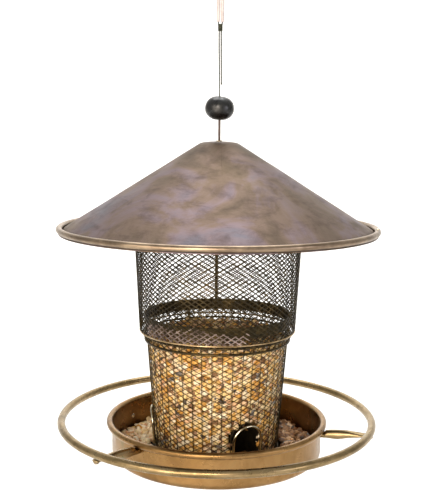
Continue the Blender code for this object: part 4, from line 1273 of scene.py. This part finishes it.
def build_perch(settings):
    """The perch ring of bent tube on its three spokes."""
    ring = faced(hoop(PERCH_LINE_R, PERCH_Z, PERCH_TUBE_R, 280, 24))
    piece("perch_hoop", *ring, ["perch"], "tray", ["perch_ring"], "perch_bronze")
    start = TRAY_WALL_R + SHEET / 2 + GAP
    tongue_t, tongue_w, spoke_t, spoke_w, root_t = 2.6 * MM, 9.0 * MM, 8.4 * MM, 7.6 * MM, 5.6 * MM
    tongue_z = PERCH_Z - PERCH_TUBE_R - GAP - tongue_t / 2
    root_z = TRAY_RIM_Z - TRAY_ROLL_R - GAP - root_t / 2
    clear_rim = TRAY_R + GAP
    arm_z = root_z - root_t / 2 + spoke_t / 2
    span = PERCH_LINE_R - TRAY_R
    stations = [
        (start, root_z, spoke_w * 0.86, root_t),
        (clear_rim - 1.2 * MM, root_z, spoke_w * 0.92, root_t),
        (clear_rim + 1.2 * MM, arm_z - 0.6 * MM, spoke_w, spoke_t - 1.2 * MM),
        (TRAY_R + span * 0.28, arm_z - 0.3 * MM, spoke_w, spoke_t),
        (TRAY_R + span * 0.5, (arm_z + tongue_z) / 2, spoke_w, spoke_t * 0.8),
        (TRAY_R + span * 0.76, tongue_z - 0.4 * MM, tongue_w * 0.92, spoke_t * 0.5),
        (TRAY_R + span * 0.9, tongue_z, tongue_w, tongue_t),
        (PERCH_LINE_R + 0.6 * MM, tongue_z, tongue_w * 0.8, tongue_t),
        (PERCH_LINE_R + 1.8 * MM, tongue_z, tongue_w * 0.4, tongue_t * 0.9),
    ]
    sides = 24
    for number, angle in enumerate(SPOKE_ANGLES, 1):
        points = []
        rows = smooth_stations(stations, 5)
        for r, z, width, height in rows:
            for k in range(sides):
                turn = math.tau * k / sides
                points.append((r, width / 2 * math.cos(turn), z + height / 2 * math.sin(turn)))
        arm = faced((points, skinned(len(rows), sides)))
        arm = placed(arm, Matrix.Rotation(angle, 4, "Z"))
        tag = str(number)
        piece("perch_arm_" + tag, *arm, ["perch"], "tray", ["spoke_" + tag], "perch_bronze")


def build_fasteners(settings):
    """The bolts, rivets, screws and nuts that hold the tray, perch ring and cage together."""
    flip = Matrix.Rotation(math.pi, 4, "X")
    under_heads = (
        ("arm_rivet_", "ring_rivet_", (2.4 * MM, 1.6 * MM, 1.2 * MM, 2.9 * MM)),
        ("floor_screw_", "foot_screw_", (3.0 * MM, 1.4 * MM, 1.5 * MM, 6.0 * MM)),
    )
    for number, angle in enumerate(SPOKE_ANGLES, 1):
        tag = str(number)
        low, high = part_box("spoke_bolt_" + tag)
        seat = TRAY_WALL_R - SHEET / 2 - GAP
        z = (low.z + high.z) / 2
        bolt = placed(dome_head(3.2 * MM, 1.5 * MM, 1.5 * MM, 5.8 * MM), facing(angle + math.pi, -seat, z))
        piece("arm_bolt_" + tag, *bolt, ["fastener"], "tray", ["spoke_bolt_" + tag])
        for name, node, shape in under_heads:
            low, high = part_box(node + tag)
            middle = (low + high) / 2
            under = Matrix.Translation((middle.x, middle.y, low.z + shape[1])) @ flip
            head = placed(dome_head(*shape), under)
            piece(name + tag, *head, ["fastener"], "tray", [node + tag])
        low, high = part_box("foot_nut_" + tag)
        middle = (low + high) / 2
        nut_r = 3.1 * MM
        body = [(1.8 * MM, low.z), (2.7 * MM, low.z), (nut_r, low.z + 0.3 * MM)]
        body += [(nut_r, high.z - 0.3 * MM), (2.7 * MM, high.z), (1.8 * MM, high.z)]
        nut = faced(turned(body, circle_steps(6)))
        nut = placed(nut, Matrix.Translation((middle.x, middle.y, 0.0)))
        piece("floor_nut_" + tag, *nut, ["fastener"], "tray", ["foot_nut_" + tag], None, None, 20.0)
    low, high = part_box("tray_rivet")
    angle = math.radians(149.0)
    z = (low.z + high.z) / 2
    seat = TRAY_WALL_R - SHEET / 2
    stud = placed(dome_head(2.2 * MM, 1.0 * MM, 1.0 * MM, 0.3 * MM), facing(angle + math.pi, -seat, z))
    piece("wall_rivet", *stud, ["fastener"], "tray", ["tray_rivet"])


def build_stage(settings):
    """A pale paper sweep, soft lights and the camera."""
    front_y, bend_y, back_y, half_w = -1.6, 1.1, 1.9, 2.6
    floor_z, bend_z, top_z, bend_r = -0.56, 0.24, 2.4, 0.8
    line = [(front_y, floor_z), (bend_y, floor_z)]
    for turn in range(6, 91, 6):
        lean = math.radians(turn)
        line.append((bend_y + bend_r * math.sin(lean), bend_z - bend_r * math.cos(lean)))
    line.append((back_y, top_z))
    points = [(x, y, z) for y, z in line for x in (-half_w, half_w)]
    faces = [(2 * i, 2 * i + 1, 2 * i + 3, 2 * i + 2) for i in range(len(line) - 1)]
    piece("paper_sweep", points, faces, ["paper"], None)

    world = bpy.data.worlds.new("soft_room")
    bpy.context.scene.world = world
    world.use_nodes = True
    sky = world.node_tree.nodes["Background"]
    height = add(world.node_tree, "ShaderNodeTexCoord").outputs["Generated"]
    rise = add(world.node_tree, "ShaderNodeSeparateXYZ", {"Vector": height}).outputs["Z"]
    level = add(world.node_tree, "ShaderNodeMapRange", {"Value": rise, "From Min": -1.0, "From Max": 1.0})
    stops = [(0.30, "#8f8a7c"), (0.47, "#d2cdc2"), (0.56, "#f2efe8"), (1.0, "#fbfaf7")]
    room = add(world.node_tree, "ShaderNodeValToRGB", {"Fac": level.outputs["Result"]}, stops)
    world.node_tree.links.new(room.outputs["Color"], sky.inputs["Color"])
    sky.inputs["Strength"].default_value = settings.room_light

    lights = (
        ("key_softbox", (-1.3, -1.3, 0.15), (0, 0, -0.36), 0.9, 8.5, "#fff4e6"),
        ("fill_softbox", (1.5, -1.1, -0.05), (0, 0, -0.3), 0.8, 7.0, "#f6f4ff"),
        ("front_softbox", (-0.3, -1.6, 0.1), (0, 0, -0.42), 0.7, 17.0, "#fff2e2"),
        ("low_softbox", (-0.6, -1.2, -0.45), (0, 0, -0.42), 0.6, 7.0, "#ffeedb"),
        ("top_softbox", (0.1, 0.3, 1.4), (0, 0, -0.2), 1.2, 2.5, "#ffffff"),
        ("sweep_light", (0.0, 0.9, 1.5), (0.0, 1.8, -0.1), 1.8, 40.0, "#ffffff"),
    )
    for name, place, aim, size, power, tone in lights:
        lamp = bpy.data.lights.new(name, "AREA")
        lamp.shape = "DISK"
        lamp.size = size
        lamp.energy = power
        lamp.color = linear(tone)
        holder = bpy.data.objects.new(name, lamp)
        bpy.context.scene.collection.objects.link(holder)
        holder.location = place
        holder.rotation_euler = (Vector(aim) - Vector(place)).to_track_quat("-Z", "Y").to_euler()

    lens = bpy.data.cameras.new("studio_camera")
    lens.sensor_width = 36.0
    lens.lens = 66.8
    lens.clip_start = 0.01
    view = bpy.data.objects.new("studio_camera", lens)
    bpy.context.scene.collection.objects.link(view)
    down_deg, roll_deg = 7.85, 0.55
    pitch = Matrix.Rotation(math.radians(90.0 - down_deg), 4, "X")
    roll = Matrix.Rotation(math.radians(roll_deg), 4, "Z")
    view.matrix_world = Matrix.Translation((-0.00146, -0.8, RIM_Z + 0.092)) @ pitch @ roll
    bpy.context.scene.camera = view
    bpy.context.scene.view_settings.view_transform = "Standard"


def length(label, words, size):
    """A length that a user may change."""
    return bpy.props.FloatProperty(name=label, description=words, default=size, unit="LENGTH")


def colour(label, words, tone):
    """A colour that a user may change."""
    return bpy.props.FloatVectorProperty(
        name=label, description=words, default=linear(tone), subtype="COLOR"
    )


class FeederSettings(bpy.types.PropertyGroup):
    """Sizes and colours that a user would change; colours are held as linear light."""

    upper_cells: bpy.props.IntProperty(
        name="Upper cells", description="Wire cells round the upper tier", default=66
    )
    lower_cells: bpy.props.IntProperty(
        name="Lower cells", description="Wire cells round the lower tier", default=44
    )
    upper_wire: length("Upper wire", "Wire diameter of the upper tier", 0.95 * MM)
    lower_wire: length("Lower wire", "Wire diameter of the lower tier", 0.56 * MM)
    kernel_length: length("Kernel length", "Length of a seed kernel", 8.0 * MM)
    crumb_count: bpy.props.IntProperty(name="Crumbs", description="Loose kernels in the tray", default=1150)
    dent_depth: length("Dent depth", "Unevenness of the roof's sheet", 0.25 * MM)
    lap_height: length("Lap height", "Step at the roof's lap", 0.5 * MM)
    room_light: bpy.props.FloatProperty(
        name="Room light", description="Strength of the soft room light", default=0.62
    )
    roof_rub: colour("Roof rub", "Tone of the rubs on the roof", "#6c5c3b")
    roof_stain: colour("Roof stain", "Tone of the dark stains on the roof", "#372d28")
    wire_tone: colour("Wire", "Middle tone of the wire", "#3d3219")
    tray_tone: colour("Tray", "Main tone of the tray", "#86673f")
    perch_tone: colour("Perch", "Main tone of the perch ring", "#877350")
    bead_paint: colour("Bead", "Tone of the bead's paint", "#070707")
    jacket_tone: colour("Jacket", "Light tone of the cable's jacket", "#523a31")
    sleeve_tone: colour("Sleeve", "Light tone of the loop's sleeve", "#c6bcba")
    paper_tone: colour("Paper", "Light tone of the paper sweep", "#f7f7f6")


def operator(word, label, text, work):
    """An operator class for one group of pieces."""

    def execute(self, context):
        work(context.scene.feeder_settings)
        return {"FINISHED"}

    body = {"bl_idname": "feeder." + word, "bl_label": label, "__doc__": text, "execute": execute}
    return type("FEEDER_OT_" + word, (bpy.types.Operator,), body)


STEPS = [
    ("finishes", "Finishes", "Make every finish of the feeder", make_finishes),
    ("stage", "Stage", "Build the paper sweep, lights and camera", build_stage),
    ("cable", "Cable", "Build the cable, crimp and sleeved loop", build_cable),
    ("bead", "Stop bead", "Build the painted stop bead", build_bead),
    ("roof", "Roof", "Build the roof, its rim and eyelet", build_roof),
    ("upper_cage", "Upper cage", "Build the upper tier and hanger strap", build_upper_cage),
    ("lower_cage", "Lower cage", "Build the lower tier", build_lower_cage),
    ("ports", "Ports", "Build the feeding ports", build_ports),
    ("seed", "Seed", "Fill the lower tier with seed", build_seed),
    ("tray", "Tray", "Build the tray and its spilt seed", build_tray),
    ("perch", "Perch ring", "Build the perch ring and spokes", build_perch),
    ("fasteners", "Fasteners", "Build bolts, rivets, screws and nuts", build_fasteners),
]
OPERATORS = [operator(*step) for step in STEPS]


class FEEDER_PT_panel(bpy.types.Panel):
    """The feeder's panel in the sidebar."""

    bl_idname = "FEEDER_PT_panel"
    bl_label = "Bird feeder"
    bl_space_type = "VIEW_3D"
    bl_region_type = "UI"
    bl_category = "Feeder"

    def draw(self, context):
        for word, label, _, _ in STEPS:
            self.layout.operator("feeder." + word, text=label)


CLASSES = [FeederSettings, *OPERATORS, FEEDER_PT_panel]


def register():
    """Register the classes and the feeder's settings."""
    for made in CLASSES:
        bpy.utils.register_class(made)
    bpy.types.Scene.feeder_settings = bpy.props.PointerProperty(type=FeederSettings)


def unregister():
    """Remove the classes and the feeder's settings."""
    del bpy.types.Scene.feeder_settings
    for made in reversed(CLASSES):
        bpy.utils.unregister_class(made)


def main():
    """Build the whole feeder, then write the CAD's box and the finished pieces' box."""
    register()
    for word, _, _, _ in STEPS:
        getattr(bpy.ops.feeder, word)()


if __name__ == "__main__":
    main()
